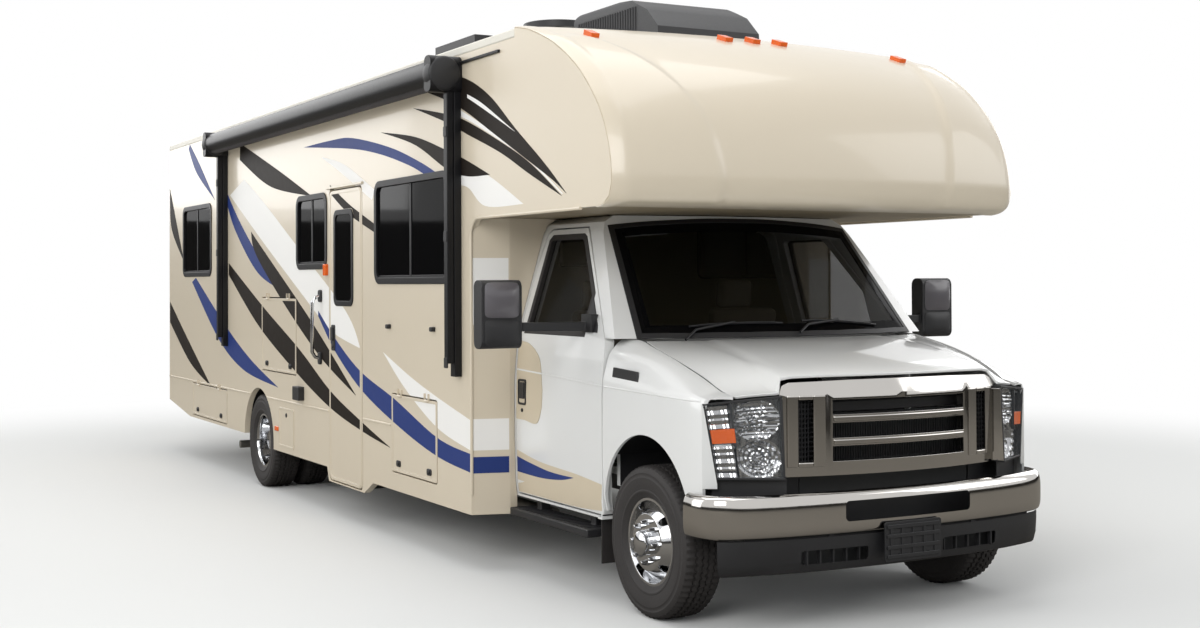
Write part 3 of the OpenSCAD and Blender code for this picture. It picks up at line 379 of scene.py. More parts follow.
nut_tree = bpy.data.node_groups.new("wheel nuts", "GeometryNodeTree")
sockets = {}
for label, kind, value in (("Count", "NodeSocketInt", 8), ("Ring radius", "NodeSocketFloat", 0.1),
                           ("Nut radius", "NodeSocketFloat", 0.016), ("Nut height", "NodeSocketFloat", 0.034),
                           ("Finish", "NodeSocketMaterial", None)):
    made = nut_tree.interface.new_socket(label, in_out="INPUT", socket_type=kind)
    if value is not None:
        made.default_value = value
    sockets[label] = made.identifier
nut_tree.interface.new_socket("Nuts", in_out="OUTPUT", socket_type="NodeSocketGeometry")
given = add(nut_tree, "NodeGroupInput")
ring = add(nut_tree, "GeometryNodeMeshCircle", {"Vertices": given.outputs["Count"],
                                                "Radius": given.outputs["Ring radius"]})
crown_radius = add(nut_tree, "ShaderNodeMath", {0: given.outputs["Nut radius"], 1: 0.55},
                   operation="MULTIPLY")
nut = add(nut_tree, "GeometryNodeMeshCone", {"Vertices": 6, "Radius Top": crown_radius.outputs[0],
                                             "Radius Bottom": given.outputs["Nut radius"],
                                             "Depth": given.outputs["Nut height"]})
around = add(nut_tree, "GeometryNodeInstanceOnPoints", {"Points": ring.outputs[0],
                                                        "Instance": nut.outputs[0]})
real = add(nut_tree, "GeometryNodeRealizeInstances", {0: around.outputs[0]})
plated = add(nut_tree, "GeometryNodeSetMaterial", {"Geometry": real.outputs[0],
                                                   "Material": given.outputs["Finish"]})
leave = add(nut_tree, "NodeGroupOutput")
nut_tree.links.new(plated.outputs[0], leave.inputs[0])


def grow(name, tree, values):
    # The tree's result as a plain mesh, lying at the origin
    seed_piece = bpy.data.objects.new(name, bpy.data.meshes.new(name))
    scene.collection.objects.link(seed_piece)
    rule = seed_piece.modifiers.new("rule", "NODES")
    rule.node_group = tree
    for identifier, value in values.items():
        rule[identifier] = value
    graph = bpy.context.evaluated_depsgraph_get()
    mesh = bpy.data.meshes.new_from_object(seed_piece.evaluated_get(graph))
    bpy.data.objects.remove(seed_piece)
    return mesh


hub_section = [(0, 0), (60, 0), (60, 20), (56, 27), (40, 34), (22, 38), (0, 39)]
for side, body, x, y, radius, proud in (
    (-1, "wheel_fr", 0, -front_wheel - 105, 98, 18),
    (1, "wheel_fl", 0, front_wheel + 105, 98, 18),
    (-1, "wheels_rr", rear_axle, -rear_outer + 97, 104, 84),
    (1, "wheels_rl", rear_axle, rear_outer - 97, 104, 84),
):
    nuts = grow("nuts", nut_tree, {sockets["Ring radius"]: radius / 1000, sockets["Finish"]: stainless})
    nuts.transform(Matrix.Translation(at(x, y, wheel_radius)) @ Matrix.Rotation(side * math.pi / -2, 4, "X"))
    settle(body + "_nut_covers", nuts, stainless, body, 1.5)
    bm = bmesh.new()
    lathe(bm, [(r, d * side) for r, d in hub_section], (x, y + proud * side, wheel_radius), 40)
    settle(body + "_hub_cap", close_up(bm, "hub_cap"), stainless, body, 2)

# Cab body, doors and cowl
# A pressed steel van cab in white enamel with clear lacquer; the doors hang on front hinges.
# White enamel under lacquer: smooth and glossy, with the faint orange peel of a sprayed coat
cab_white = coat("white_enamel", "dfdfdd", 0.3, patch=900, shift=0.015, grain=14, bump=0.05, clear=0.8,
                 spread=0.03)
for node in ("cab_body", "cab_door_l", "cab_door_r"):
    dress(node, cab_white, 5, parts=3)
# Moulded black polypropylene: grained, half matt, chalked a little by the sun
black_plastic = coat("grained_polypropylene", "1f1f21", 0.5, patch=200, shift=0.15, grain=6, bump=0.35,
                     spread=0.08)
dress("cowl", black_plastic, 3)


# Hood
# One broad pressed panel, flat on top and rolled down at its sides to the fender line.
# Its rows run from the windscreen to the grille: share of length, half width, edge height, middle height.
def spline(points, count):
    # An even Catmull-Rom run through a list of number tuples
    last = len(points) - 1
    run = []
    for k in range(count):
        u = last * k / (count - 1)
        i = min(int(u), last - 1)
        f = u - i
        p0, p1, p2, p3 = (points[max(0, min(last, i + d))] for d in (-1, 0, 1, 2))
        run.append(tuple(
            0.5 * (2 * b + (c - a) * f + (2 * a - 5 * b + 4 * c - d) * f * f
                   + (3 * b - a - 3 * c + d) * f ** 3)
            for a, b, c, d in zip(p0, p1, p2, p3)))
    return run


def plate(outer, inner):
    # A closed panel between two grids of points
    bm = bmesh.new()
    a = [[bm.verts.new(at(*p)) for p in row] for row in outer]
    b = [[bm.verts.new(at(*p)) for p in row] for row in inner]
    n, m = len(a), len(a[0])
    for i in range(n - 1):
        for j in range(m - 1):
            bm.faces.new((a[i][j], a[i + 1][j], a[i + 1][j + 1], a[i][j + 1]))
            bm.faces.new((b[i][j], b[i][j + 1], b[i + 1][j + 1], b[i + 1][j]))
    rim = [(0, j) for j in range(m)] + [(i, m - 1) for i in range(1, n)]
    rim += [(n - 1, j) for j in range(m - 2, -1, -1)] + [(i, 0) for i in range(n - 2, 0, -1)]
    for (i, j), (k, l) in zip(rim, rim[1:] + rim[:1]):
        bm.faces.new((a[i][j], a[k][l], b[k][l], b[i][j]))
    return bm


def ease(u):
    u = min(1, max(0, u))
    return u * u * (3 - 2 * u)


hood_foot_bow = 2497
hood_rows = [(0, 864, 1344, 1342), (0.15, 878, 1318, 1336), (0.35, 884, 1282, 1318), (0.55, 880, 1238, 1294),
             (0.72, 870, 1192, 1268), (0.85, 862, 1148, 1244), (0.94, 854, 1124, 1222), (1, 848, 1115, 1202)]
outer, inner = [], []
for share, half, edge_z, mid_z in spline(hood_rows, 40):
    top, under = [], []
    nose = ease((share - 0.6) / 0.4)
    for k in range(97):
        t = -1 + k / 48
        y = t * half
        step = ease((abs(y) - 636) / 40)
        x0 = -66 - hood_foot_bow + math.sqrt(hood_foot_bow ** 2 - y * y) + 15
        x1 = (1 - step) * (712 - y * y / 4600) + step * (666 - 0.55 * (abs(y) - 666))
        roll = abs(t) ** 5
        drop = (1 - nose) * roll + nose * (0.72 * ease((abs(y) - 632) / 44) + 0.28 * roll)
        # a shallow raised field runs back from the grille's corners
        field = 5 * (1 - ease((0.65 + 0.09 * share - abs(t)) / 0.05))
        z = mid_z - (mid_z - edge_z) * drop - field
        top.append((x0 + (x1 - x0) * share, y, z))
        under.append((x0 + (x1 - x0) * share - 2 * share, y * 0.991, z - 13))
    outer.append(top)
    inner.append(under)
hood_mesh = close_up(plate(outer, inner), "hood_panel")
settle("hood_panel", hood_mesh, cab_white, "hood_lid", 3, 40, stands_for=("hood",))

# Fenders
# Pressed panels round the front wheels, each in one piece from the door to the headlamp, with a flanged arch.
# Each has a black vent behind the wheel, and a rubber flap hangs from the cab behind the tyre.
fender_rows = [(-391, 872, 1352, 1170, 1014), (-300, 874, 1346, 1164, 1014), (-214, 872, 1340, 1158, 1014),
               (-110, 882, 1318, 1150, 1014), (0, 889, 1294, 1141, 1014), (120, 892, 1264, 1131, 1014),
               (230, 890, 1230, 1121, 1014), (330, 883, 1196, 1112, 1012), (420, 872, 1158, 1104, 1007),
               (480, 860, 1128, 1094, 998), (508, 856, 1112, 1088, 990)]


def fender_section(row, d):
    x, top_y, top_z, crease, half = row
    rise = top_z - crease
    section = [(half - 24 - d, 478), (half - 6 - d, 560), (half - d, 700), (half - d, 900),
               (half - 3 - d, crease - 80), (half - 12 - d, crease),
               (half - 44 - d, crease + rise * 0.55 - d * 0.2),
               (top_y + 38 + (half - top_y - 120) * 0.3 - d * 0.7, crease + rise * 0.88 - d * 0.7),
               (top_y + 8, top_z - d)]
    run = spline(section, 41)
    # the front end reaches out along the top of the headlamp
    reach = max(0, (x - 480) / 28) * 0.55
    return [(x + reach * max(0, 986 - y) * ease((z - crease + 40) / 30), y, z) for y, z in run]


def carve(mesh, cutter, way="DIFFERENCE"):
    # A plain mesh of the first less, or within, the second
    pair = [bpy.data.objects.new("carved", mesh), bpy.data.objects.new("cutter", cutter)]
    for one in pair:
        scene.collection.objects.link(one)
    cut = pair[0].modifiers.new("cut", "BOOLEAN")
    cut.operation = way
    cut.solver = "EXACT"
    cut.object = pair[1]
    graph = bpy.context.evaluated_depsgraph_get()
    made = bpy.data.meshes.new_from_object(pair[0].evaluated_get(graph))
    for one in pair:
        bpy.data.objects.remove(one)
    return made


def rounded(a0, a1, b0, b1, r, n=6):
    # Corner points of a rectangle with rounded corners
    ring = []
    for ca, cb, start in ((a1 - r, b1 - r, 0), (a0 + r, b1 - r, 90), (a0 + r, b0 + r, 180),
                          (a1 - r, b0 + r, 270)):
        for k in range(n + 1):
            turn = math.radians(start + 90 * k / n)
            ring.append((ca + r * math.cos(turn), cb + r * math.sin(turn)))
    return ring


def spot_of(way, a, b, d):
    return {"y": at(a, d, b), "x": at(d, a, b), "z": at(a, b, d)}[way]


def prism(bm, near, back):
    # Two outlines of points, each closed by a face and joined to the other round the side
    bm.faces.new(near)
    bm.faces.new(back)
    for i in range(len(near)):
        j = (i + 1) % len(near)
        bm.faces.new((near[i], near[j], back[j], back[i]))


def slab(bm, ring, d0, d1, way="y"):
    # An outline drawn out between two depths
    prism(bm, *([bm.verts.new(spot_of(way, a, b, d)) for a, b in ring] for d in (d0, d1)))


def band(bm, ring, hole, d0, d1, way="y"):
    # The frame between two outlines of as many points
    lines = ((ring, d0), (hole, d0), (hole, d1), (ring, d1))
    wrap(bm, [[bm.verts.new(spot_of(way, a, b, d)) for a, b in line] for line, d in lines])


sides = ((-1, "right"), (1, "left"))
arch_radius = 400
for side, word in sides:
    rows = spline(fender_rows, 56)
    bm = plate([[(x, side * y, z) for x, y, z in fender_section(r, 0)] for r in rows],
               [[(x, side * y, z) for x, y, z in fender_section(r, 16)] for r in rows])
    panel = close_up(bm, "fender")
    bm = bmesh.new()
    turns = [math.pi * k / 48 for k in range(49)]
    arch = [(20 + arch_radius * math.cos(a), 495 + arch_radius * math.sin(a)) for a in turns]
    arch = [(420, 300)] + arch + [(-380, 300)]
    slab(bm, arch, side * 1100, side * 860)
    panel = carve(panel, close_up(bm, "arch"))
    stands = ("fenders",) if side < 0 else ()
    settle("fender_" + word, panel, cab_white, "coach", turn=36, stands_for=stands)
    outer = []
    for k in range(9):
        y = 990 - 58 * k / 8
        crest = min(1078, max(700, 730 + (y - 935) / 51 * 348))
        outer.append([(508 + (990 - y) * 0.625, side * y, 690 + (crest - 690) * n / 12) for n in range(13)])
    inner = [[(x - 9, y, z) for x, y, z in row] for row in outer]
    nose_panel = close_up(plate(outer, inner), "fender_nose_" + word)
    settle("fender_nose_" + word, nose_panel, cab_white, "coach", 1.5)
    # a pressed crease carries the belt of the door on to the headlamp
    outer, inner = [], []
    for row in rows[1:-4]:
        run = fender_section(row, 0)
        level = 1107 - (row[0] + 391) * 0.022
        proud, flush = [], []
        for z in (level - 5, level, level + 5):
            low, high = [pair for pair in zip(run, run[1:]) if pair[0][2] <= z <= pair[1][2]][0]
            y = low[1] + (high[1] - low[1]) * (z - low[2]) / (high[2] - low[2])
            proud.append((row[0], side * (y + (3.5 if z == level else 1)), z))
            flush.append((row[0], side * (y - 3), z))
        outer.append(proud)
        inner.append(flush)
    crease = close_up(plate(outer, inner), "crease")
    settle("fender_crease_" + word, crease, cab_white, "coach", turn=20)
    bm = bmesh.new()
    slab(bm, [(-309, 1158), (-48, 1146), (-60, 1196), (-296, 1208)], side * 992, side * 1004)
    settle("fender_vent_" + word, close_up(bm, "vent"), black_plastic, "coach", 3)
    bm = bmesh.new()
    slab(bm, rounded(-436, -428, 200, 480, 3, 2), side * 1000, side * 770)
    settle("mud_flap_" + word, close_up(bm, "flap"), tyre_rubber, "coach", 1.5)

# Front support, grille and its meshes
# A black pressed panel behind a chromed grille with three centre slots and a mesh column at each side.
dress("front_support", black_plastic, 4)
# Chromed plastic and steel: near mirror, bright and neutral, with faint polishing marks
chrome = coat("bright_chrome", "c3c0bc", 0.09, metal=1.0, patch=300, shift=0.06, grain=50, bump=0.25,
              spread=0.04)
dress("grille", chrome, 9, 40, 4)

fin_tree = bpy.data.node_groups.new("row of fins", "GeometryNodeTree")
fin_sockets = {}
for label, kind in (("Count", "NodeSocketInt"), ("Step", "NodeSocketVector"),
                    ("Fin size", "NodeSocketVector"), ("Tilt", "NodeSocketVector"),
                    ("Finish", "NodeSocketMaterial")):
    fin_sockets[label] = fin_tree.interface.new_socket(label, in_out="INPUT", socket_type=kind).identifier
fin_tree.interface.new_socket("Fins", in_out="OUTPUT", socket_type="NodeSocketGeometry")
given = add(fin_tree, "NodeGroupInput")
stack = add(fin_tree, "GeometryNodeMeshLine", {"Count": given.outputs["Count"],
                                               "Offset": given.outputs["Step"]}, mode="OFFSET")
fin = add(fin_tree, "GeometryNodeMeshCube", {"Size": given.outputs["Fin size"]})
lean = add(fin_tree, "FunctionNodeEulerToRotation", {0: given.outputs["Tilt"]})
stacked = add(fin_tree, "GeometryNodeInstanceOnPoints", {
    "Points": stack.outputs[0], "Instance": fin.outputs[0], "Rotation": lean.outputs[0]})
real = add(fin_tree, "GeometryNodeRealizeInstances", {0: stacked.outputs[0]})
made_of = add(fin_tree, "GeometryNodeSetMaterial", {"Geometry": real.outputs[0],
                                                    "Material": given.outputs["Finish"]})
leave = add(fin_tree, "NodeGroupOutput")
fin_tree.links.new(made_of.outputs[0], leave.inputs[0])


def fins(name, finish, body, start, step, size, count, tilt=(0, 0, 0), edge=1.0):
    # A straight row of equal fins; start, step and size are in millimetres
    mesh = grow(name, fin_tree, {
        fin_sockets["Count"]: count,
        fin_sockets["Step"]: [c / 1000 for c in step],
        fin_sockets["Finish"]: finish,
        fin_sockets["Fin size"]: [c / 1000 for c in size],
        fin_sockets["Tilt"]: [math.radians(c) for c in tilt]})
    mesh.transform(Matrix.Translation(at(*start)))
    piece = settle(name, mesh, finish, body, edge)
    return piece


def join_in(bm, part):
    # A second built shape joins the first
    mesh = close_up(part, "part")
    bm.from_mesh(mesh)
    bpy.data.meshes.remove(mesh)


def bowed_bar(bm, y0, y1, z0, z1, out, back, lie, steps=8):
    # A bar that follows a bowed face: lie(y) is the face, out and back the two depths
    run = [y0 + (y1 - y0) * k / steps for k in range(steps + 1)]
    grids = [[[(lie(y) + d, y, z) for z in (z0, z1)] for y in run] for d in (out, back)]
    join_in(bm, plate(*grids))


grille_bow = 2300


def grille_lie(y):
    return -1558 + math.sqrt(grille_bow ** 2 - y * y)


bm = bmesh.new()
for z in (889, 997):
    bowed_bar(bm, -394, 394, z - 12, z + 12, 9, -6, grille_lie, 24)
settle("grille_bars", close_up(bm, "bars"), chrome, "coach", 5, 40, parts=3)
for side, word in sides:
    fins("grille_mesh_" + word, black_plastic, "coach", (640, side * 528, 802), (0, 0, 22), (16, 150, 6), 14,
         (0, 14, 0))
    fins("grille_mesh_uprights_" + word, black_plastic, "coach", (646, side * 532 - 38, 945), (0, 19, 0),
         (10, 4, 310), 5)
    bm = bmesh.new()
    slab(bm, rounded(side * 540 - 10, side * 540 + 10, 788, 1100, 4, 2), 628, 640, "x")
    settle("grille_mesh_post_" + word, close_up(bm, "post"), black_plastic, "coach", 2)
    # a bright surround narrows each mesh, and a bright return closes the step to the lamp
    bm = bmesh.new()
    for y0, y1, z0, z1 in ((436, 496, 778, 1108), (570, 624, 778, 1108), (497, 569, 778, 800),
                           (497, 569, 1088, 1108)):
        bowed_bar(bm, *sorted((side * y0, side * y1)), z0, z1, 7, -14, grille_lie, 4)
    settle("grille_surround_" + word, close_up(bm, "surround"), chrome, "coach", 5, 40, parts=3)
    outer, inner = [], []
    for z in (738, 1096):
        back = 22 * (z - 730) / 382
        outer.append([(650, side * 638, z), (704 - back, side * 664.5, z)])
        inner.append([(636, side * 648, z), (692 - back, side * 665.5, z)])
    settle("grille_return_" + word, close_up(plate(outer, inner), "return"), chrome, "coach", 1)
# The radiator core stands behind the slots: pressed black fins between flat tubes
bm = bmesh.new()
slab(bm, rounded(-512, 512, 606, 1014, 12), 592, 600, "x")
settle("radiator_core", close_up(bm, "core"), black_primer, "coach", 2)
fins("radiator_fins", black_primer, "coach", (603, -495, 900), (0, 15, 0), (8, 4, 220), 67)


# Door and coach glass
# Tempered glass in rubber and clamp frames: a clear grey in the cab, which shows the seats dimly,
# and a privacy glass in the coach that is almost black.
def tinted(name, colour, cover, shine):
    made, t = blank(name)
    spot = add(t, "ShaderNodeTexCoord")
    wave = add(t, "ShaderNodeTexNoise", {"Vector": spot.outputs["Object"], "Scale": 2.2, "Detail": 1.0})
    ripple = add(t, "ShaderNodeBump", {"Height": wave.outputs[0], "Strength": 0.05, "Distance": 0.004})
    smear = add(t, "ShaderNodeMapRange", {"Value": wave.outputs[0], "To Min": 0.02, "To Max": 0.07})
    pane = add(t, "ShaderNodeBsdfPrincipled", {
        "Base Color": lin(colour), "Roughness": smear.outputs[0], "Alpha": cover,
        "Normal": ripple.outputs[0], "Specular IOR Level": shine})
    add(t, "ShaderNodeOutputMaterial", {"Surface": pane.outputs[0]})
    return made


cab_glass = tinted("grey_cab_glass", "17150f", 0.46, 0.1)
privacy_glass = tinted("privacy_glass", "0b0b0c", 0.97, 0.04)
for node in ("door_glass_l", "door_glass_r"):
    dress(node, cab_glass, 0, 25)
dress("window_glass", privacy_glass, 0, 25)

# Cab door fittings
# Rubber seals round the door glass, a black mirror sail, a pull handle with its lock, a belt crease and
# films.
# They lie on the cab's own section, which falls inwards above the belt line.
cab_section = [(430, 998), (520, 1009), (760, 1014), (1080, 1014), (1180, 1006), (1340, 992), (1905, 822)]


def cab_side(z):
    for (z0, y0), (z1, y1) in zip(cab_section, cab_section[1:]):
        if z <= z1:
            return y0 + (y1 - y0) * (z - z0) / (z1 - z0)
    return cab_section[-1][1]


def inset(ring, d):
    # A convex outline drawn in by a distance, or out by a negative one
    moved = []
    area = sum(a[0] * b[1] - b[0] * a[1] for a, b in zip(ring, ring[1:] + ring[:1]))
    for i, here in enumerate(ring):
        ways = []
        for a, b in ((ring[i - 1], here), (here, ring[(i + 1) % len(ring)])):
            run = Vector((b[0] - a[0], b[1] - a[1])).normalized()
            ways.append(Vector((-run.y, run.x)) * math.copysign(1, area))
        middle = (ways[0] + ways[1]).normalized()
        moved.append((here[0] + middle.x * d / max(0.4, middle.dot(ways[0])),
                      here[1] + middle.y * d / max(0.4, middle.dot(ways[0]))))
    return moved


film_foot = -0.4


def sweep(upper, lower, side, lift, lie, count=28):
    # A painted sweep between two drawn edges, a thin closed film on the surface that lie(z) gives
    top = spline(upper, count)
    low = spline(lower, count)
    grids = []
    for out in (lift, film_foot):
        grid = []
        for (xa, za), (xb, zb) in zip(top, low):
            row = []
            for n in range(4):
                x = xa + (xb - xa) * n / 3
                z = za + (zb - za) * n / 3 - (0.3 * n if abs(za - zb) < 1 else 0)
                row.append((x, side * (lie(z) + out), z))
            grid.append(row)
        grids.append(grid)
    return plate(*grids)


# Vinyl films of the side graphics: smooth and softly glossy, with the slight ripple of hand laying
def vinyl(colour, code, rough, patch, shift, spec):
    return coat(colour + "_vinyl", code, rough, patch=patch, shift=shift, grain=60, bump=0.03, spec=spec,
                spread=0.04)


vinyl_white = vinyl("white", "eceae6", 0.4, 700, 0.02, 0.25)
vinyl_blue = vinyl("blue", "2b3c76", 0.45, 500, 0.06, 0.12)
vinyl_black = vinyl("black", "241f1b", 0.5, 500, 0.1, 0.08)
vinyl_tan = vinyl("tan", "c9bca5", 0.4, 700, 0.03, 0.25)
door_window = [(-1322, 1372), (-650, 1372), (-650, 1572), (-902, 1868), (-930, 1882), (-1290, 1882),
               (-1310, 1866)]
mirror_sail = [(-636, 1376), (-498, 1376), (-512, 1412), (-636, 1560)]
belt_edges = [(-1396, 1152), (-900, 1134), (-404, 1112)], [(-1396, 1142), (-900, 1124), (-404, 1102)]
door_films = (
    ("sweep_blue", vinyl_blue, 1.6, [(-1395, 655), (-1228, 633), (-982, 609), (-715, 607)],
     [(-1395, 569), (-1104, 564), (-864, 579), (-715, 606)]),
    ("sweep_tan", vinyl_tan, 0.9, [(-1396, 692), (-1103, 651), (-692, 630), (-406, 606)],
     [(-1396, 456), (-1103, 456), (-692, 456), (-420, 470)]),
    ("patch_tan", vinyl_tan, 3.2, [(-1396, 1310), (-1250, 1290), (-1120, 1210), (-1070, 1050)],
     [(-1396, 868), (-1290, 866), (-1140, 860), (-1080, 950)]),
)
doors = ((-1, "door_right", "right"), (1, "door_left", "left"))
for side, body, word in doors:
    bm = bmesh.new()
    loops = []
    for d, out in ((-22, 3), (10, 3), (10, -30), (-22, -6)):
        loops.append([bm.verts.new(at(x, side * (cab_side(z) + out), z)) for x, z in inset(door_window, d)])
    wrap(bm, loops)
    settle("door_seal_" + word, close_up(bm, "seal"), tyre_rubber, body, 2)
    bm = bmesh.new()
    loops = []
    for out in (5, -1):
        loops.append([bm.verts.new(at(x, side * (cab_side(z) + out), z)) for x, z in mirror_sail])
    prism(bm, *loops)
    settle("mirror_sail_" + word, close_up(bm, "sail"), black_plastic, body, 2)
    bm = bmesh.new()
    band(bm, rounded(-1368, -1270, 950, 1094, 16), rounded(-1358, -1280, 962, 1082, 10), side * 1010,
         side * 1022)
    slab(bm, rounded(-1350, -1288, 985, 1076, 8), side * 1010, side * 1024)
    lathe(bm, [(0, 0), (11, 0), (11, 5 * side), (9, 7 * side), (0, 7 * side)], (-1318, side * 1016, 920), 20)
    settle("door_handle_" + word, close_up(bm, "handle"), black_plastic, body, 2)
    # a raised crease along the belt of the door
    belt = close_up(sweep(*belt_edges, side, 3.5, cab_side), "belt")
    settle("door_belt_" + word, belt, cab_white, body, 1.2)
    for label, finish, lift, upper, lower in door_films:
        film = close_up(sweep(upper, lower, side, lift, cab_side), "film")
        settle("door_{}_{}".format(label, word), film, finish, body)

# Windscreen, its seal and the wipers
# One bowed pane of laminated glass, held in a black seal, with a fired black edge over its seat on the cab.
# Two black arms lie along its foot, each with a spring-backed rubber blade.
screen_slope = math.radians(40.6)
screen_bow = 3450
foot_half, head_half = 866, 772


def screen_spot(y, rise, out):
    # A point on the bowed screen: across, up its slope, and out from its face
    bow = math.sqrt(screen_bow ** 2 - y * y) - screen_bow + out
    x = -125 + bow * math.cos(screen_slope) - rise * math.sin(screen_slope)
    return (x, y, 1364 + bow * math.sin(screen_slope) + rise * math.cos(screen_slope))


def tube(bm, points, r, n=10):
    # A round rod through a list of points, closed at both ends
    spots = [at(*p) for p in points]
    rings = []
    for i, here in enumerate(spots):
        run = (spots[min(i + 1, len(spots) - 1)] - spots[max(i - 1, 0)]).normalized()
        a = run.cross(Vector((0.31, 0.22, 0.93))).normalized()
        b = run.cross(a)
        turns = [2 * math.pi * k / n for k in range(n)]
        rings.append([bm.verts.new(here + (a * math.cos(t) + b * math.sin(t)) * r / 1000) for t in turns])
    for a, b in zip(rings, rings[1:]):
        for k in range(n):
            bm.faces.new((a[k], a[(k + 1) % n], b[(k + 1) % n], b[k]))
    bm.faces.new(rings[0])
    bm.faces.new(rings[-1])


screen_corners = [(-foot_half, 92), (-600, 40), (-300, 6), (0, -6), (300, 6), (600, 40), (foot_half, 92),
                  (head_half, 822), (400, 806), (0, 800), (-400, 806), (-head_half, 822)]
screen_edge = []
for a, b in zip(screen_corners, screen_corners[1:] + screen_corners[:1]):
    screen_edge += [(a[0] + (b[0] - a[0]) * k / 8, a[1] + (b[1] - a[1]) * k / 8) for k in range(8)]
bm = bmesh.new()
loops = []
for d, out in ((-16, 3), (16, 4), (16, -12), (-16, -3)):
    loops.append([bm.verts.new(at(*screen_spot(y, rise, out))) for y, rise in inset(screen_edge, d)])
wrap(bm, loops)
settle("windscreen_seal", close_up(bm, "seal"), black_plastic, "coach", 2)


def edge_height(line, y):
    # The height of the screen's foot or head at a point across it
    for a, b in zip(line, line[1:]):
        if y <= b[0]:
            return a[1] + (b[1] - a[1]) * (y - a[0]) / (b[0] - a[0])
    return line[-1][1]


def screen_sheet(span, up, lap, out):
    # A grid of points over a share of the screen's width and height, held back from its outline by a lap
    foot, head = screen_corners[:7], screen_corners[:6:-1]
    sheet = []
    for k in range(29):
        share = span[0] + (span[1] - span[0]) * k / 28
        y0, rise0 = (foot_half - lap) * share, edge_height(foot, foot_half * share) + lap
        y1, rise1 = (head_half - lap) * share, edge_height(head, head_half * share) - lap
        parts = [up[0] + (up[1] - up[0]) * n / 10 for n in range(11)]
        sheet.append([screen_spot(y0 + (y1 - y0) * u, rise0 + (rise1 - rise0) * u, out) for u in parts])
    return sheet


# one bowed pane over the whole outline
whole = (-1, 1), (0, 1)
pane = close_up(plate(screen_sheet(*whole, 8, -2), screen_sheet(*whole, 8, -8)), "pane")
pane = settle("windshield_pane", pane, cab_glass, "coach", turn=60, stands_for=("windshield",))
# the cab's front wall is opened behind all of the pane
gap = close_up(plate(screen_sheet(*whole, 46, 60), screen_sheet(*whole, 46, -120)), "gap")
cab_piece = bpy.data.objects["cab_body_finished"]
cab_piece.data = carve(cab_piece.data, gap)
# the fired black edge of the glass covers its seat on the cab
for word, span, up in (("right", (-1, -0.925), (0, 1)), ("left", (0.925, 1), (0, 1)),
                       ("foot", (-0.925, 0.925), (0, 0.085)), ("head", (-0.925, 0.925), (0.905, 1))):
    edge_glass = close_up(plate(screen_sheet(span, up, 2, 1), screen_sheet(span, up, 2, -1.5)), "edge_glass")
    settle("windscreen_edge_" + word, edge_glass, privacy_glass, "coach")
for word, foot, tip in (("right", -640, -60), ("left", 30, 600)):
    bm = bmesh.new()
    low = [60 + abs(foot) * 0.03, 46 + abs(tip) * 0.03]
    tube(bm, [screen_spot(foot - 20, low[0] - 75, 26), screen_spot(foot + 60, low[0] - 20, 24),
              screen_spot((foot + tip) / 2, (low[0] + low[1]) / 2 + 18, 20)], 7)
    run = []
    for k in range(13):
        run.append(screen_spot(foot + 40 + (tip - foot - 40) * k / 12,
                               low[0] + (low[1] - low[0]) * k / 12 + 16, 9))
    tube(bm, run, 6)
    tube(bm, [(x + 5, y, z + 4) for x, y, z in run[1:-1]], 3.5)
    settle("wiper_" + word, close_up(bm, "wiper"), black_plastic, "coach", turn=40)

# Headlamps
# Each is a black tub with two faceted reflector bowls and an amber block, closed by a clear moulded lens.
# The four corners of the face carry everything: u runs inwards, v runs down, depth runs in behind the lens.
lamp_corners = {"top": ((508, 986, 1078), (684, 666, 1112)), "low": ((540, 935, 730), (706, 666, 730))}


def lamp_spot(u, v, depth):
    top = Vector(lamp_corners["top"][0]).lerp(Vector(lamp_corners["top"][1]), u)
    low = Vector(lamp_corners["low"][0]).lerp(Vector(lamp_corners["low"][1]), u)
    # the face looks ahead and outwards; the tub behind it runs straight back
    return top.lerp(low, v) - Vector((0.93, 0.25, 0)) * depth


def lamp_sheet(u0, u1, v0, v1, near, back, side, nu=2, nv=2, form=None):
    # A closed pad on the lamp face between two depths, or between two formed surfaces
    grids = []
    for depth in (near, back):
        grid = []
        for i in range(nu + 1):
            row = []
            for j in range(nv + 1):
                u = u0 + (u1 - u0) * i / nu
                v = v0 + (v1 - v0) * j / nv
                x, y, z = lamp_spot(u, v, depth + (form(u, v) if form else 0))
                row.append((x, side * y, z))
            grid.append(row)
        grids.append(grid)
    return plate(*grids)


lamp_bowls = ((0.66, 0.27, False), (0.66, 0.74, True))


def reflector_form(u, v):
    # Two bowls let into the tub: level slats across the upper one, rings round the lower one
    deep = 0.0
    ridge = 1.2 * math.sin(u * 60)
    for cu, cv, ringed in lamp_bowls:
        away = math.hypot((u - cu) / 0.31, (v - cv) / 0.24)
        if away < 1:
            deep = 48 * (1 - away * away)
            ridge = 3.2 * math.sin(away * 26) if ringed else 3.2 * math.sin(v * 120)
            ridge += 1.6 * math.sin(math.atan2(v - cv, u - cu) * 14)
    return deep + ridge


# Vacuum-plated reflector: mirror bright, broken by its facets
plated = coat("plated_reflector", "b4b5b7", 0.12, metal=1.0, patch=30, shift=0.3, grain=14, bump=0.6,
              spread=0.06)
# Amber acrylic: clear orange with a ribbed face
amber_lens = coat("amber_acrylic", "e2621a", 0.2, patch=30, shift=0.12, grain=6, bump=0.5)
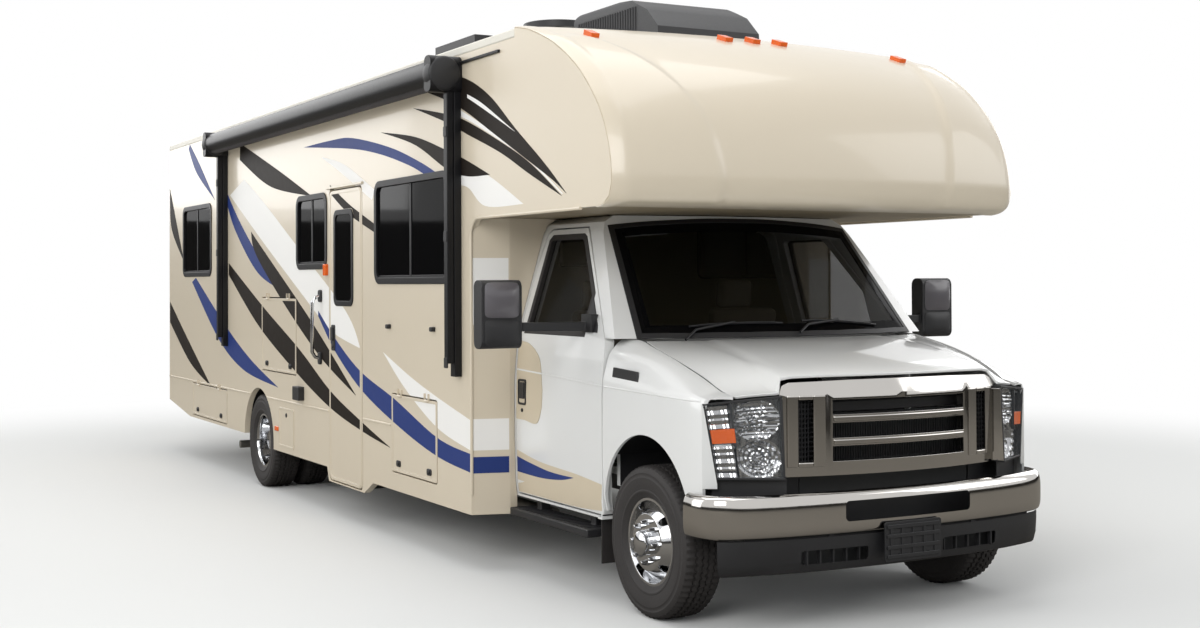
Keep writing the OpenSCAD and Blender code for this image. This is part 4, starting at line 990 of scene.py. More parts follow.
# Clear acrylic lens: almost unseen, with a sharp glint
clear_lens, tree = blank("clear_acrylic")
spot = add(tree, "ShaderNodeTexCoord")
haze = add(tree, "ShaderNodeTexNoise", {"Vector": spot.outputs["Object"], "Scale": 14.0, "Detail": 2.0})
dull = add(tree, "ShaderNodeMapRange", {"Value": haze.outputs[0], "To Min": 0.03, "To Max": 0.12})
shell = add(tree, "ShaderNodeBsdfPrincipled", {"Base Color": lin("8a9094"), "Roughness": dull.outputs[0],
                                               "Alpha": 0.05})
add(tree, "ShaderNodeOutputMaterial", {"Surface": shell.outputs[0]})
for side, word in sides:
    tub = close_up(lamp_sheet(0.0, 1.0, 0.0, 1.0, 84, 96, side), "headlamp_tub_" + word)
    stands = ("headlamps",) if side < 0 else ()
    settle("headlamp_tub_" + word, tub, black_plastic, "coach", 2, stands_for=stands)
    bm = bmesh.new()
    for u0, u1, v0, v1, near in ((0, 1, 0, 0.028, 0), (0, 1, 0.972, 1, 0), (0, 0.03, 0.03, 0.97, 0),
                                 (0.97, 1, 0.03, 0.97, 0), (0.335, 0.365, 0.032, 0.60, 6)):
        join_in(bm, lamp_sheet(u0, u1, v0, v1, near, 86, side))
    settle("headlamp_bezel_" + word, close_up(bm, "bezel"), black_plastic, "coach", 1.5)
    mirror_cup = close_up(lamp_sheet(0.365, 0.968, 0.03, 0.97, 20, 24, side, 52, 60, reflector_form),
                          "reflector")
    settle("headlamp_reflector_" + word, mirror_cup, plated, "coach", turn=7)
    side_cup = lamp_sheet(0.032, 0.334, 0.03, 0.97, 26, 30, side, 12, 36,
                          lambda u, v: 3 * math.sin(v * 70) + 2 * math.sin(u * 120))
    side_cup = close_up(side_cup, "side_reflector")
    settle("headlamp_side_reflector_" + word, side_cup, plated, "coach", turn=7)
    block = close_up(lamp_sheet(0.04, 0.36, 0.35, 0.53, 5, 16, side, 14, 2,
                                lambda u, v: 1.5 * math.sin(u * 260)), "amber")
    settle("headlamp_amber_" + word, block, amber_lens, "coach", 1)
    pane = close_up(lamp_sheet(0.012, 0.988, 0.012, 0.988, 0.5, 3.5, side, 6, 6), "lens")
    settle("headlamp_lens_" + word, pane, clear_lens, "coach")
    for n, (u, v, ringed) in enumerate(lamp_bowls):
        x, y, z = lamp_spot(u, v, 44)
        bm = bmesh.new()
        lathe(bm, [(0, 22), (9, 20), (13, 12), (14, 0), (14, -20), (0, -20)], (x, side * y, z), 20, "x")
        settle("headlamp_bulb_{}_{}".format(word, n), close_up(bm, "bulb"), plated, "coach", turn=40)

# Front bumper and valance
# A chromed steel bar rolled round the corners with a long cooling slot, over a black moulded valance.
bar_path = [(430, 1046), (500, 1044), (562, 1028), (620, 992), (668, 930), (704, 840), (732, 720), (756, 560),
            (774, 374), (784, 180), (788, 0)]
bumper_section = [(34, 466), (12, 478), (2, 508), (0, 560), (2, 616), (14, 650), (40, 666)]


def bar(section, path, back):
    run = spline(path, 45)
    run = run + [(x, -y) for x, y in reversed(run[:-1])]
    grid = []
    for x, y in run:
        s = 0 if abs(y) < 900 else (abs(y) - 900) / 150
        row = []
        for set_in, z in spline(section, 25):
            k = set_in + back
            row.append((x - k * (1 - 0.86 * s), y - math.copysign(k * 0.9 * s, y), z))
        grid.append(row)
    return grid


bumper = close_up(plate(bar(bumper_section, bar_path, 0), bar(bumper_section, bar_path, 6)), "bumper")
bm = bmesh.new()
slab(bm, rounded(-376, 376, 528, 622, 22), 640, 860, "x")
bumper = carve(bumper, close_up(bm, "slot"))
settle("bumper_bar", bumper, chrome, "coach", turn=40, stands_for=("bumper_front",))
valance = dress("valance", black_plastic, 0, 40)
bm = bmesh.new()
for y0, y1 in ((-590, -226), (226, 590)):
    slab(bm, rounded(y0, y1, 338, 402, 14), 620, 790, "x")
valance.data = carve(valance.data, close_up(bm, "slots"))
# A black primed sheet closes the slots from behind: painted shade, dark where the open slots hold only shade
bm = bmesh.new()
for y0, y1 in ((-660, -120), (120, 660)):
    slab(bm, rounded(y0, y1, 316, 424, 10, 3), 640, 646, "x")
settle("valance_backing", close_up(bm, "backing"), black_primer, "coach", 1)
for side, word in sides:
    fins("valance_ribs_" + word, black_plastic, "coach", (712, side * 408 - 150, 370), (0, 75, 0),
         (22, 8, 72), 5)
dress("plate_bracket", black_plastic, 2)
# Black fillers close the seam under the bar and the gap below each lamp
bar_spots = sorted((y, x) for x, y in spline(bar_path, 45))


def bar_lie(y):
    for (y0, x0), (y1, x1) in zip(bar_spots, bar_spots[1:]):
        if y0 <= abs(y) <= y1:
            return x0 + (x1 - x0) * (abs(y) - y0) / (y1 - y0)
    return bar_spots[0][1]


bm = bmesh.new()
bowed_bar(bm, -860, 860, 446, 482, -40, -46, bar_lie, 40)
settle("bumper_filler", close_up(bm, "filler"), black_plastic, "coach", 1)
for side, word in sides:
    bm = bmesh.new()
    bowed_bar(bm, *sorted((side * 640, side * 930)), 628, 742, -44, -50,
              lambda y: 706 - (abs(y) - 666) * 0.617, 6)
    settle("lamp_filler_" + word, close_up(bm, "filler"), black_plastic, "coach", 1)
# The bracket's raised ladder of ribs
for n, z in enumerate((348, 392, 444, 488)):
    bm = bmesh.new()
    slab(bm, rounded(-158, 158, z - 9, z + 9, 5, 3), 799, 806, "x")
    settle("plate_rib_{}".format(n), close_up(bm, "rib"), black_plastic, "coach", 1.5)
fins("plate_posts", black_plastic, "coach", (802, -132, 418), (0, 66, 0), (5, 16, 150), 5)

# Mirrors, boards and wheel arch liners
# Moulded black towing mirrors on wide arms, bolted to the doors, ribbed black steps under them,
# and moulded liners round the wheels.
for node, edge in (("mirror_l", 16), ("mirror_r", 16), ("running_boards", 6), ("wheel_liners", 1.5)):
    dress(node, black_plastic, edge, parts=3)
# a moulded apron on the cab's front wall closes each wheel well below its liner
for side, word in sides:
    skins = []
    for x in (-359, -356):
        skins.append([[(x, side * y, z) for z in (604, 680, 760, 836)] for y in (520, 660, 800, 930)])
    apron = close_up(plate(*skins), "apron")
    settle("wheel_apron_" + word, apron, black_plastic, "coach")
# Smooth grey moulding of the mirror covers
cover_grey = coat("grey_abs_cover", "5a575b", 0.3, patch=200, shift=0.08, grain=8, bump=0.12, clear=0.3)
# The mirror glasses face the rear, a large one over a small one
mirror_y = 1444
for side, body, word in doors:
    bm = bmesh.new()
    low, high = side * mirror_y - 94, side * mirror_y + 94
    for z0, z1 in ((1424, 1632), (1318, 1412)):
        slab(bm, rounded(low, high, z0, z1, 18), -773, -768, "x")
    settle("mirror_glass_" + word, close_up(bm, "glass"), stainless, body, 1)
    # a smooth domed cover stands on the front of each head, over a lower one in black
    for label, finish, z0, z1, dome in (("cover", cover_grey, 1456, 1638, 24),
                                        ("shell", black_plastic, 1308, 1448, 16)):
        outer, inner = [], []
        for i in range(13):
            u = -1 + i / 6
            front, back = [], []
            for j in range(13):
                v = -1 + j / 6
                draw = 1 - 0.09 * (u * v) ** 6
                y = side * mirror_y + 98 * u * draw
                z = (z0 + z1) / 2 + (z1 - z0) / 2 * v * draw
                front.append((-665 + dome * (1 - abs(u) ** 3) * (1 - abs(v) ** 3), y, z))
                back.append((-670, y, z))
            outer.append(front)
            inner.append(back)
        cover = close_up(plate(outer, inner), label)
        settle("mirror_{}_{}".format(label, word), cover, finish, body, 2, 50)
for side, word in sides:
    fins("board_ribs_" + word, black_plastic, "coach", (-1360, side * 985, 373), (46, 0, 0), (14, 120, 4), 19)

# Dashboard, seats and steering wheel
# Moulded trim, cloth seats on black bases and a black wheel, all dim behind the tinted glass.
dash_trim = coat("moulded_trim", "4a4640", 0.6, patch=150, shift=0.08, grain=6, bump=0.3)
dress("dashboard", dash_trim, 18, parts=3)
dress("steering_wheel", black_plastic, 2, 40)


def cushion(centre, half, lean, crown, corner):
    # A closed pad with rounded corners: crowned on its face, its sides drawn in between the corners
    bm = bmesh.new()
    bmesh.ops.create_cube(bm, size=2)
    bmesh.ops.subdivide_edges(bm, edges=bm.edges, cuts=15, use_grid_fill=True)
    tilt = Matrix.Rotation(math.radians(lean), 3, "Y")
    for v in bm.verts:
        u, w, h = v.co
        core = Vector([math.copysign(min(abs(c), 1 - corner / k), c) * k for c, k in zip((u, w, h), half)])
        edge = Vector([c * k for c, k in zip((u, w, h), half)]) - core
        if edge.length > 0:
            core += edge.normalized() * corner
        core.z += crown * (1 - u * u) * (1 - w * w) * (h if h > 0 else 0.2 * h)
        core.y *= 1 - 0.04 * (1 - u * u)
        # two sewn channels run along the pad
        core.z -= 7 * math.exp(-((abs(w) - 0.55) / 0.05) ** 2) * max(0, h)
        v.co = at(*(Vector(centre) + tilt @ core))
    return bm


# Woven seat cloth: warm grey, matt, with a coarse thread drawn larger so that it shows
seat_cloth = coat("woven_seat_cloth", "857d70", 0.9, patch=120, shift=0.12, grain=4, bump=0.9)
seat_middle = 465
pad_corner = 34
for side, word in sides:
    seat_y = side * seat_middle
    bm = bmesh.new()
    slab(bm, rounded(-1260, -900, seat_y - 155, seat_y + 155, 20), 640, 800, "z")
    stands = ("seats",) if side < 0 else ()
    settle("seat_base_" + word, close_up(bm, "base"), black_plastic, "coach", 6, stands_for=stands)
    for part, centre, half, lean, crown in (
        ("cushion", (-1075, seat_y, 866), (255, 232, 62), -2, 16),
        ("back", (-1348, seat_y, 1190), (285, 228, 52), -80, 14),
        ("headrest", (-1402, seat_y, 1560), (84, 120, 40), -84, 8),
    ):
        shape = close_up(cushion(centre, half, lean, crown, pad_corner), part)
        pad = settle("seat_{}_{}".format(part, word), shape, seat_cloth, "coach", turn=60)

# Coach floors and steps
# Board floors on the beams, sheet-wood topped, with the moulded entry well and its two steps.
floor_board = coat("sheet_wood_floor", "8d8069", 0.5, patch=260, shift=0.2, grain=20, bump=0.1)
dress("coach_floors", floor_board, 3)
dress("entry_steps", black_plastic, 6)

# Coach walls and roof
# Bonded panels with a smooth glass-fibre face in beige gel coat; the roof is a crowned white membrane.
# Gel coat: even colour, softly glossy, with a long slow ripple where the panel follows its studs
gel_coat = coat("beige_gel_coat", "d3c7b2", 0.34, patch=1400, shift=0.02, grain=70, bump=0.12, clear=0.35,
                spread=0.04)
wall_face = 1257
for node in ("side_walls", "wall_rear", "wall_front"):
    dress(node, gel_coat, 3)
roof_skin = coat("roof_membrane", "dcd8cd", 0.55, patch=500, shift=0.06, grain=16, bump=0.3)
dress("roof", roof_skin, 10, parts=4)

# Front cap
# A moulded glass-fibre cap over the cab, bowed in plan and rolled back into the roof.
# A raised field stands on each side, and the mould's edge leaves a bead along the wall.
cap_edge = [(0, 2002), (70, 2014), (122, 2046), (147, 2110), (145, 2190), (122, 2290), (84, 2385), (30, 2474),
            (-50, 2568), (-155, 2668), (-290, 2762), (-440, 2845), (-595, 2909), (-740, 2958), (-900, 2990)]
cap_mid = [(0, 2002), (190, 2006), (272, 2040), (306, 2108), (306, 2196), (284, 2310), (243, 2422),
           (180, 2528), (90, 2632), (-35, 2732), (-190, 2822), (-365, 2898), (-550, 2958), (-725, 3004),
           (-900, 3035)]
cap_crease = [690, 690, 692, 697, 706, 726, 752, 786, 832, 884, 950, 1030, 1110, 1160, 1190]
cap_rows = spline([e + m + (c,) for e, m, c in zip(cap_edge, cap_mid, cap_crease)], 71)
cap_columns = [2 * k / 44 for k in range(45)]
outer, inner = [], []
for i, (ex, ez, mx, mz, crease) in enumerate(cap_rows):
    a, b = cap_rows[max(0, i - 1)], cap_rows[min(70, i + 1)]
    along = Vector((b[2] - a[2], 0, b[3] - a[3])).normalized()
    out_way = Vector((along.z, 0, -along.x))
    right = []
    for q in cap_columns:
        y = crease * q if q <= 1 else crease + (wall_face - crease) * (q - 1)
        s = y / wall_face
        g = 0.25 * math.sqrt(max(0, 1 - s ** 12)) + 0.75 * (1 - s ** 1.9)
        row = i / 5
        pod = 14 * ease((q - 0.97) / 0.08) * ease((1.95 - q) / 0.1) * ease(row - 1) * ease(12 - row)
        bead = 5 * ease((y - 1170) / 20)
        lift = pod + bead
        right.append((ex + (mx - ex) * g + lift * out_way.x, y, ez + (mz - ez) * g + lift * out_way.z))
    rows = [(x, -y, z) for x, y, z in reversed(right[1:])] + right
    outer.append(rows)
    inner.append([(x - 14 * out_way.x, y * 0.995, z - 14 * out_way.z) for x, y, z in rows])
cap = close_up(plate(outer, inner), "cap_moulding")
settle("cap_moulding", cap, gel_coat, "coach", turn=50, stands_for=("front_cap",))

# Entry door, hatches and their boxes
# The same faced panels in thin frames; the boxes behind the hatches are grey moulded tubs.
liner = coat("grey_liner", "77746e", 0.6, patch=200, shift=0.1, grain=12, bump=0.2)
# The left hatch's face has too long an outline for one flat face, so it is split.
for node in ("entry_door", "hatch_fr", "hatch_mr", "hatch_rr", "hatch_fl"):
    dress(node, gel_coat, 3, split=node == "hatch_fl")
dress("hatch_boxes", liner, 2)

# Window frames
# Black anodised aluminium clamp frames with rounded corners.
anodised = coat("black_anodised_aluminium", "151517", 0.4, patch=300, shift=0.1, grain=10, bump=0.1,
                spec=0.25)
dress("window_frames", anodised, 3)
# Sash bars where one half of a window slides behind the other, and a vent rail along the foot of each
windows = {-1: [(1818, 1176, 1655, 2270), (4002, 656, 1762, 2257), (7174, 998, 1725, 2332)],
           1: [(1818, 1176, 1655, 2270), (4300, 900, 1762, 2257), (7174, 998, 1725, 2332)]}
for side, word in sides:
    bm = bmesh.new()
    for front, length, z0, z1 in windows[side]:
        x = -front - length / 2
        slab(bm, rounded(x - 15, x + 15, z0 + 14, z1 - 14, 4, 2), side * 1243, side * 1254)
        slab(bm, rounded(-front - length + 14, -front - 14, z0 + 14, z0 + 30, 4, 2), side * 1243, side * 1253)
    settle("sash_bars_" + word, close_up(bm, "bars"), anodised, "coach", 2)

# Side graphics
# Cut vinyl sweeps laid on the walls, in white, blue and black, each an upper and a lower edge in x and z.
# The film is trimmed at every frame and gap, and the parts that lie on a door or a hatch move with it.
side_sweeps = [
    (vinyl_white, 0.6, [(-6100, 2500), (-5580, 2300), (-4600, 1880), (-3600, 1450), (-3300, 1200)],
     [(-6540, 2390), (-5590, 1980), (-4370, 1480), (-3900, 1300), (-3300, 1199)]),
    (vinyl_white, 0.6, [(-1810, 2690), (-1520, 2590), (-1080, 2425), (-720, 2280), (-345, 2080)],
     [(-1810, 2630), (-1520, 2560), (-1080, 2405), (-720, 2265), (-360, 2079)]),
    (vinyl_white, 0.6, [(-1820, 2300), (-1530, 2300), (-1220, 2220), (-800, 2050)],
     [(-1820, 2200), (-1530, 2180), (-1280, 2060), (-800, 2049)]),
    (vinyl_white, 0.6, [(-2870, 1190), (-2410, 1060), (-1980, 960), (-1490, 860)],
     [(-2870, 1189), (-2490, 980), (-1980, 780), (-1490, 690)]),
    (vinyl_blue, 0.9, [(-4500, 2640), (-3910, 2640), (-3450, 2620), (-2740, 2500), (-2230, 2370),
                       (-1920, 2270)],
     [(-4500, 2639), (-3490, 2550), (-2920, 2470), (-2400, 2360), (-2080, 2270), (-1920, 2269)]),
    (vinyl_blue, 0.9, [(-4180, 1440), (-3810, 1250), (-3310, 1050), (-2660, 900), (-1980, 720), (-1490, 670)],
     [(-4180, 1400), (-3810, 1160), (-3270, 920), (-2580, 730), (-1980, 610), (-1490, 565)]),
    (vinyl_blue, 0.9, [(-7720, 1690), (-6710, 1280), (-5940, 1020), (-5160, 830)],
     [(-7860, 1650), (-6940, 1160), (-6140, 920), (-5160, 829)]),
    (vinyl_black, 1.2, [(-2420, 2860), (-1810, 2840), (-1520, 2790), (-1210, 2660), (-900, 2460),
                        (-540, 2240), (-310, 2080)],
     [(-2420, 2859), (-1810, 2700), (-1520, 2600), (-1210, 2470), (-780, 2290), (-470, 2160), (-310, 2079)]),
    (vinyl_black, 1.2, [(-2340, 2710), (-1810, 2620), (-1520, 2550), (-1080, 2400), (-720, 2260),
                        (-360, 2070)],
     [(-2340, 2709), (-1810, 2570), (-1530, 2480), (-1080, 2340), (-720, 2200), (-360, 2069)]),
    (vinyl_black, 1.2, [(-2900, 2610), (-2310, 2530), (-1820, 2410), (-1530, 2330), (-1220, 2230)],
     [(-2900, 2609), (-2310, 2480), (-1820, 2300), (-1530, 2240), (-1220, 2229)]),
    (vinyl_black, 1.2, [(-6220, 2810), (-5100, 2500), (-4320, 2270)],
     [(-6230, 2670), (-5360, 2400), (-4320, 2269)]),
    (vinyl_black, 1.2, [(-6580, 1810), (-5590, 1460), (-4610, 1140), (-3920, 880), (-3270, 710),
                        (-2750, 590)],
     [(-6580, 1710), (-5700, 1300), (-4700, 970), (-3920, 760), (-3270, 650), (-2750, 589)]),
    (vinyl_black, 1.2, [(-5900, 2060), (-5590, 1920), (-4600, 1480), (-4030, 1210), (-3390, 880)],
     [(-5900, 2059), (-5760, 1870), (-4980, 1470), (-4140, 1110), (-3390, 879)]),
    (vinyl_black, 1.2, [(-8740, 2570), (-8530, 2300), (-8170, 1840)],
     [(-8740, 2440), (-8660, 2160), (-8170, 1839)]),
    (vinyl_black, 1.2, [(-8740, 1460), (-8060, 1130), (-7180, 720)],
     [(-8740, 1260), (-7940, 900), (-7180, 719)]),
    (vinyl_blue, 0.9, [(-7938, 2940), (-7565, 2721), (-7038, 2375)],
     [(-7990, 2900), (-7676, 2650), (-7038, 2374)]),
    (vinyl_blue, 0.9, [(-6671, 2443), (-6232, 2151), (-5590, 1807), (-4977, 1570)],
     [(-6672, 2357), (-6355, 2070), (-5703, 1720), (-4977, 1569)]),
    (vinyl_black, 1.2, [(-3914, 2328), (-3498, 2168), (-2923, 1992)],
     [(-3915, 2270), (-3498, 2100), (-2923, 1940)]),
    (vinyl_white, 0.6, [(-4088, 2538), (-3597, 2447), (-3013, 2243)],
     [(-4088, 2531), (-3701, 2406), (-3070, 2181)]),
    # a thin white streak laid over the black sweep above the cab is a painted highlight, drawn as white film
    (vinyl_white, 1.5, [(-1520, 2705), (-1300, 2625), (-900, 2440)],
     [(-1520, 2685), (-1300, 2600), (-900, 2439)]),
]
# Each place on the wall is its front end, length, foot and head.
entry_window = (3455, 352, 1500, 2122)
lid_places = {-1: [("lid_fr", (1980, 737, 449, 932)), ("lid_mr", (4702, 889, 952, 1520)),
                   ("lid_rr", (6647, 1184, 430, 714)), ("door_entry", (3264, 666, 262, 2282))],
              1: [("lid_fl", (1980, 737, 449, 932))]}
return_bands = ((vinyl_white, 0.6, 1398, 1776), (vinyl_white, 0.6, 691, 868), (vinyl_blue, 0.9, 562, 654))


def opening(bm, place, grow_by, r, side):
    front, length, z0, z1 = place
    ring = rounded(-front - length - grow_by, -front + grow_by, z0 - grow_by, z1 + grow_by, r)
    slab(bm, ring, side * 1225, side * 1290)


for side, word in sides:
    bm = bmesh.new()
    for place in windows[side]:
        opening(bm, place, 26.5, 60, side)
    for body, place in lid_places[side]:
        opening(bm, place, 9, 40 if body == "door_entry" else 20, side)
    wall_cutter = close_up(bm, "wall_cutter")
    panels = {}
    for body, place in lid_places[side]:
        bm = bmesh.new()
        opening(bm, place, -20 if body == "door_entry" else -1, 40 if body == "door_entry" else 13, side)
        if body == "door_entry":
            keep = close_up(bm, "keep")
            bm = bmesh.new()
            opening(bm, entry_window, 24, 50, side)
            panels[body] = carve(keep, close_up(bm, "hole"))
        else:
            panels[body] = close_up(bm, "keep")
    films = {}
    for colour, lift, upper, lower in side_sweeps:
        film = close_up(sweep(upper, lower, side, lift, lambda z: wall_face), "film")
        films.setdefault((colour, "coach"), []).append(carve(film, wall_cutter))
        for body, keep in panels.items():
            part = carve(film, keep, "INTERSECT")
            if part.polygons:
                films.setdefault((colour, body), []).append(part)
    for (colour, body), parts in films.items():
        bm = bmesh.new()
        for part in parts:
            bm.from_mesh(part)
        bmesh.ops.dissolve_degenerate(bm, dist=0.00005, edges=bm.edges)
        bmesh.ops.triangulate(bm, faces=bm.faces)
        label = "graphic_{}_{}_{}".format(colour.name.split("_")[0], body, word)
        settle(label, close_up(bm, label), colour, body, turn=10)
    # the return of the wall beside the cab carries the same bands
    for n, (colour, lift, z0, z1) in enumerate(return_bands):
        grids = []
        for out in (lift, film_foot):
            ends = [(-1420 - 62 * u + 0.96 * out, side * (1044 + 213 * u + 0.28 * out)) for u in (0.03, 0.98)]
            grids.append([[(x, y, z) for z in (z0, z1)] for x, y in ends])
        strip = close_up(plate(*grids), "band")
        settle("return_band_{}_{}".format(word, n), strip, colour, "coach")

# Rear graphics
# Three sweeps of cut film, each mirrored at the middle, carry the side colours round the back.
rear_face = 8.76
rear_sweeps = (
    (vinyl_black, 1.2, [(1215, 1500), (800, 1320), (300, 1215), (0, 1190)],
     [(1215, 1340), (800, 1215), (300, 1160), (0, 1150)]),
    (vinyl_blue, 0.9, [(900, 860), (600, 790), (250, 760), (0, 755)],
     [(900, 760), (600, 715), (250, 705), (0, 705)]),
    (vinyl_white, 0.6, [(1215, 1760), (800, 1560), (300, 1420), (0, 1380)],
     [(1215, 1600), (800, 1430), (300, 1300), (0, 1270)]),
)
# a film drawn along x and z is turned on to the rear wall
to_rear = Matrix(((0, -1, 0, front_axle_x - rear_face), (1, 0, 0, -front_axle_x), (0, 0, 1, 0), (0, 0, 0, 1)))
for n, (colour, lift, upper, lower) in enumerate(rear_sweeps):
    for side, word in sides:
        edges = [[(side * a, z) for a, z in line] for line in (upper, lower)]
        film = close_up(sweep(*edges, 1, lift, lambda z: 0), "film")
        film.transform(to_rear)
        settle("rear_graphic_{}_{}".format(word, n), film, colour, "coach")

# Entry door fittings
# A dark glass in a black clamp frame, a thin moulded door frame and a black paddle latch ride on the door.
# A bright tubular grab handle stands beside it on two black feet.
bm = bmesh.new()
slab(bm, rounded(-3807, -3455, 1500, 2122, 48), -1252, -1257)
settle("entry_glass", close_up(bm, "glass"), privacy_glass, "door_entry")
bm = bmesh.new()
band(bm, rounded(-3829, -3433, 1478, 2144, 60), rounded(-3793, -3469, 1514, 2108, 40), -1255, -1264)
settle("entry_glass_frame", close_up(bm, "frame"), anodised, "door_entry", 2.5)
bm = bmesh.new()
band(bm, rounded(-3928, -3284, 264, 2280, 58), rounded(-3906, -3306, 286, 2258, 42), -1256, -1260)
settle("entry_door_frame", close_up(bm, "frame"), gel_coat, "door_entry", 1.5)
bm = bmesh.new()
slab(bm, rounded(-3880, -3806, 1165, 1345, 14), -1256, -1264)
slab(bm, rounded(-3866, -3820, 1235, 1330, 10), -1262, -1276)
lathe(bm, [(0, 0), (15, 0), (15, -6), (11, -9), (0, -9)], (-3843, -1262, 1196), 24)
settle("entry_latch", close_up(bm, "latch"), black_plastic, "door_entry", 3)
bm = bmesh.new()
tube(bm, [(-4115, -1262, 1545), (-4115, -1300, 1535), (-4116, -1322, 1500), (-4119, -1325, 1320),
          (-4122, -1322, 1145), (-4123, -1300, 1110), (-4123, -1262, 1100)], 13, 16)
settle("grab_handle", close_up(bm, "handle"), stainless, "coach", turn=45)
bm = bmesh.new()
for x, z in ((-4115, 1545), (-4123, 1100)):
    slab(bm, rounded(x - 28, x + 28, z - 44, z + 44, 20), -1256, -1275)
settle("grab_handle_feet", close_up(bm, "feet"), black_plastic, "coach", 5, parts=3)

# Hatch fittings
# Each hatch has a thin raised frame and two black slam latches near its free lower edge.
for side in (-1, 1):
    for body, (front, length, z0, z1) in lid_places[side]:
        if body == "door_entry":
            continue
        bm = bmesh.new()
        ring = rounded(-front - length, -front, z0, z1, 14)
        hole = rounded(-front - length + 18, -front - 18, z0 + 18, z1 - 18, 8)
        band(bm, ring, hole, side * 1256, side * 1260)
        settle(body + "_frame", close_up(bm, "frame"), gel_coat, body, 1.5)
        bm = bmesh.new()
        for x in (-front - length * 0.16, -front - length * 0.84):
            slab(bm, rounded(x - 34, x + 34, z0 + 34, z0 + 74, 14), side * 1256, side * 1264)
            slab(bm, rounded(x - 18, x + 18, z0 + 44, z0 + 64, 8), side * 1262, side * 1270)
        settle(body + "_latches", close_up(bm, "latches"), black_plastic, body, 2.5)

# Small side fittings
# Mouldings, a panel and a drip cap in the wall colour, a rain gutter, a porch lamp, a reflector and a cover,
# all of them small moulded pieces screwed to the wall.
belt_runs = {-1: ((-8750, -5930), (-5450, -3950), (-3245, -2735)), 1: ((-8750, -5930), (-5450, -2735))}
for side, word in sides:
    bm = bmesh.new()
    for x0, x1 in belt_runs[side]:
        slab(bm, rounded(x0, x1, 728, 742, 5, 3), side * 1255, side * 1263)
    settle("belt_moulding_" + word, close_up(bm, "moulding"), gel_coat, "coach", 2)
    bm = bmesh.new()
    slab(bm, rounded(-1590, -1080, 2884, 2900, 5, 3), side * 1255, side * 1272)
    settle("rain_gutter_" + word, close_up(bm, "gutter"), anodised, "coach", 2)
bm = bmesh.new()
for x0, x1, z0, z1, proud in ((-4660, -4510, 770, 872, 45), (-2770, -2730, 1346, 1374, 26),
                              (-2040, -2000, 1346, 1374, 26)):
    slab(bm, rounded(x0, x1, z0, z1, 8, 3), -1255, -1257 - proud)
settle("outlet_cover_and_clips", close_up(bm, "fittings"), black_plastic, "coach", 4, parts=3)
bm = bmesh.new()
slab(bm, rounded(-4010, -3958, 1690, 1772, 12), -1255, -1282)
slab(bm, rounded(-5235, -5145, 492, 528, 8), -1255, -1266)
settle("porch_lamp_and_reflector", close_up(bm, "lenses"), amber_lens, "coach", 5, parts=3)
# a small fixed service panel stands ahead of the rear wheel
bm = bmesh.new()
slab(bm, rounded(-5124, -4756, 383, 683, 16), -1254, -1259)
band(bm, rounded(-5124, -4756, 383, 683, 16), rounded(-5108, -4772, 399, 667, 8), -1254, -1263)
settle("service_panel", close_up(bm, "panel"), gel_coat, "coach", 1.5)
bm = bmesh.new()
lathe(bm, [(0, 0), (17, 0), (17, -5), (13, -8), (0, -8)], (-4940, -1258, 630), 24)
settle("service_latch", close_up(bm, "latch"), black_plastic, "coach", 1.5)
# a rounded corner fills the wall's cut-out for the cab, and a bead runs round it
cut_out_head = 2002
corner_r = 96
turns = [math.radians(k) for k in range(180, 89, -10)]
corner = [(-1386 + corner_r * math.cos(a), cut_out_head - corner_r + corner_r * math.sin(a)) for a in turns]
for side, word in sides:
    ring = [(-1484, cut_out_head + 2), (-1484, cut_out_head - corner_r)] + corner
    ring += [(-1386, cut_out_head + 2)]
    bm = bmesh.new()
    slab(bm, ring, side * 1213, side * 1256.5)
    settle("cab_cut_out_corner_" + word, close_up(bm, "corner"), gel_coat, "coach", 1)
    bm = bmesh.new()
    run = [(-1479, side * 1256, z) for z in (440, 900, 1400, cut_out_head - 110)]
    run += [(x + 3, side * 1256, z - 3) for x, z in corner]
    run += [(x, side * 1256, cut_out_head - 3) for x in (-1300, -900, -500, -160)]
    tube(bm, run, 9, 12)
    settle("cab_cut_out_bead_" + word, close_up(bm, "bead"), gel_coat, "coach", turn=45)
bm = bmesh.new()
slab(bm, [(-3965, 2296), (-3230, 2296), (-3225, 2312), (-3970, 2312)], -1255, -1276)
settle("entry_drip_cap", close_up(bm, "cap"), gel_coat, "coach", 3)

# Awning
# Dark anodised arms and end castings on the right wall carry a rolled grey awning.
# A curved weather guard of the same metal closes over the roll.
arm_stations = (-6640, -1640)
dress("awning_arms", anodised, 8, parts=3)
# Coated awning cloth, rolled tight: grey, matt, with a fine weave drawn coarser so that it shows
awning_cloth = coat("coated_awning_cloth", "4b494b", 0.75, patch=300, shift=0.06, grain=6, bump=0.5, spec=0.2)
dress("awning_roller", awning_cloth, 4, parts=3)
grids = []
for r in (88.5, 85):
    grid = []
    for k in range(25):
        turn = math.radians(48 + 186 * k / 24)
        y, z = -1367 + r * math.cos(turn), 2832 + r * math.sin(turn)
        grid.append([(-6588 + 4896 * n / 4, y, z) for n in range(5)])
    grids.append(grid)
settle("awning_guard", close_up(plate(*grids), "guard"), anodised, "coach", 0.8)
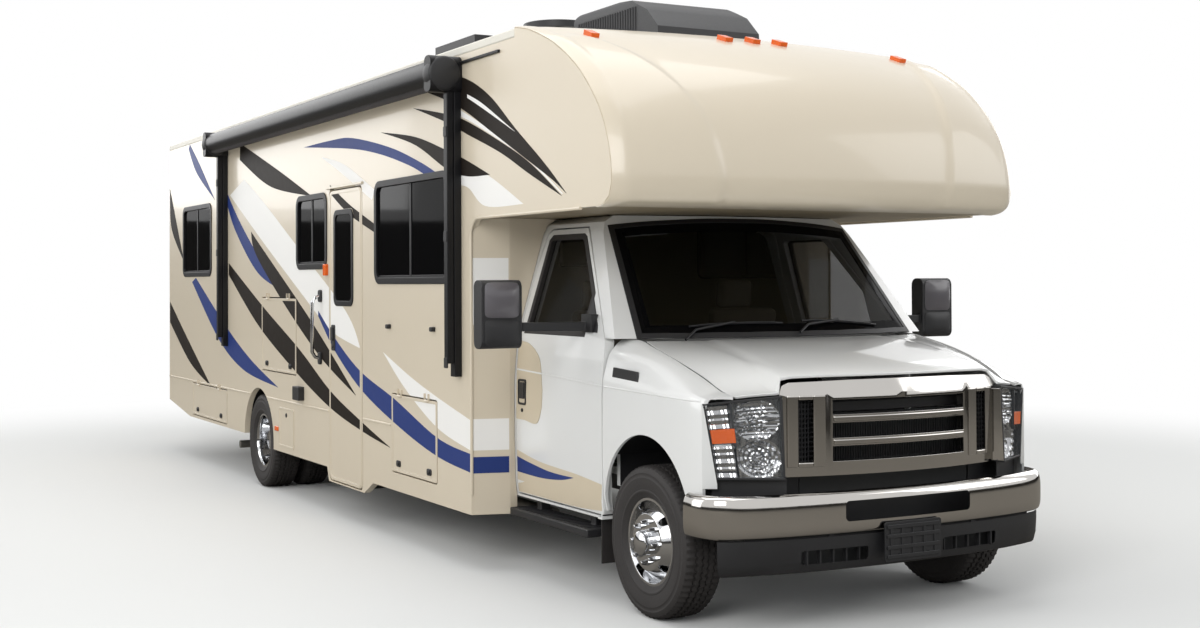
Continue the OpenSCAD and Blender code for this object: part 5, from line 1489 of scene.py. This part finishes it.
# round end castings close the roll, and each arm carries a folded outer channel
bm = bmesh.new()
for x in arm_stations:
    lathe(bm, [(0, -58), (84, -58), (99, -46), (104, 0), (99, 46), (84, 58), (0, 58)], (x, -1364, 2828), 40,
          "x")
settle("awning_end_castings", close_up(bm, "castings"), black_plastic, "coach", 3, 40)
bm = bmesh.new()
for x in arm_stations:
    slab(bm, rounded(x - 26, x + 26, -1343, -1302, 5, 3), 1176, 2728, "z")
settle("awning_outer_arms", close_up(bm, "arms"), anodised, "coach", 2)
bm = bmesh.new()
for x in arm_stations:
    for z in (1180, 1900, 2500):
        slab(bm, rounded(x - 22, x + 22, z - 30, z + 30, 8, 3), -1338, -1348)
settle("awning_arm_clips", close_up(bm, "clips"), black_plastic, "coach", 2)

# Roof units
# A moulded shroud over the roof cooler with louvred sides, two hinged vents and a small round dish.
dress("roof_units", black_plastic, 20, parts=3)
for side, word in sides:
    fins("cooler_louvres_" + word, black_plastic, "coach", (-1880, side * 344, 3150), (30, 0, 0),
         (9, 12, 150), 24, (0, 0, 20))

# Lamps and rear bumper
# Amber clearance lamps in front, red ones and tall red tail lamps at the rear, and a black channel bumper.
# Red acrylic: deep colour with a ribbed face
red_lens = coat("red_acrylic", "9c1812", 0.16, patch=30, shift=0.12, grain=6, bump=0.5)
lamp_set = dress("lamps", amber_lens, 4)
lamp_set.data.materials.append(red_lens)
# the lamps behind the middle are red
for face in lamp_set.data.polygons:
    face.material_index = 1 if face.center.x < 0 else 0
dress("rear_bumper", black_primer, 8)
for side, word in sides:
    bm = bmesh.new()
    low, high = sorted((side * 966, side * 1134))
    band(bm, rounded(low, high, 890, 1260, 14), rounded(low + 12, high - 12, 902, 1248, 8), -8761, -8776, "x")
    settle("tail_lamp_frame_" + word, close_up(bm, "frame"), black_plastic, "coach", 2)
    bm = bmesh.new()
    slab(bm, rounded(low + 20, high - 20, 910, 990, 6), -8780, -8785, "x")
    settle("reversing_lens_" + word, close_up(bm, "lens"), plated, "coach", 1.5)
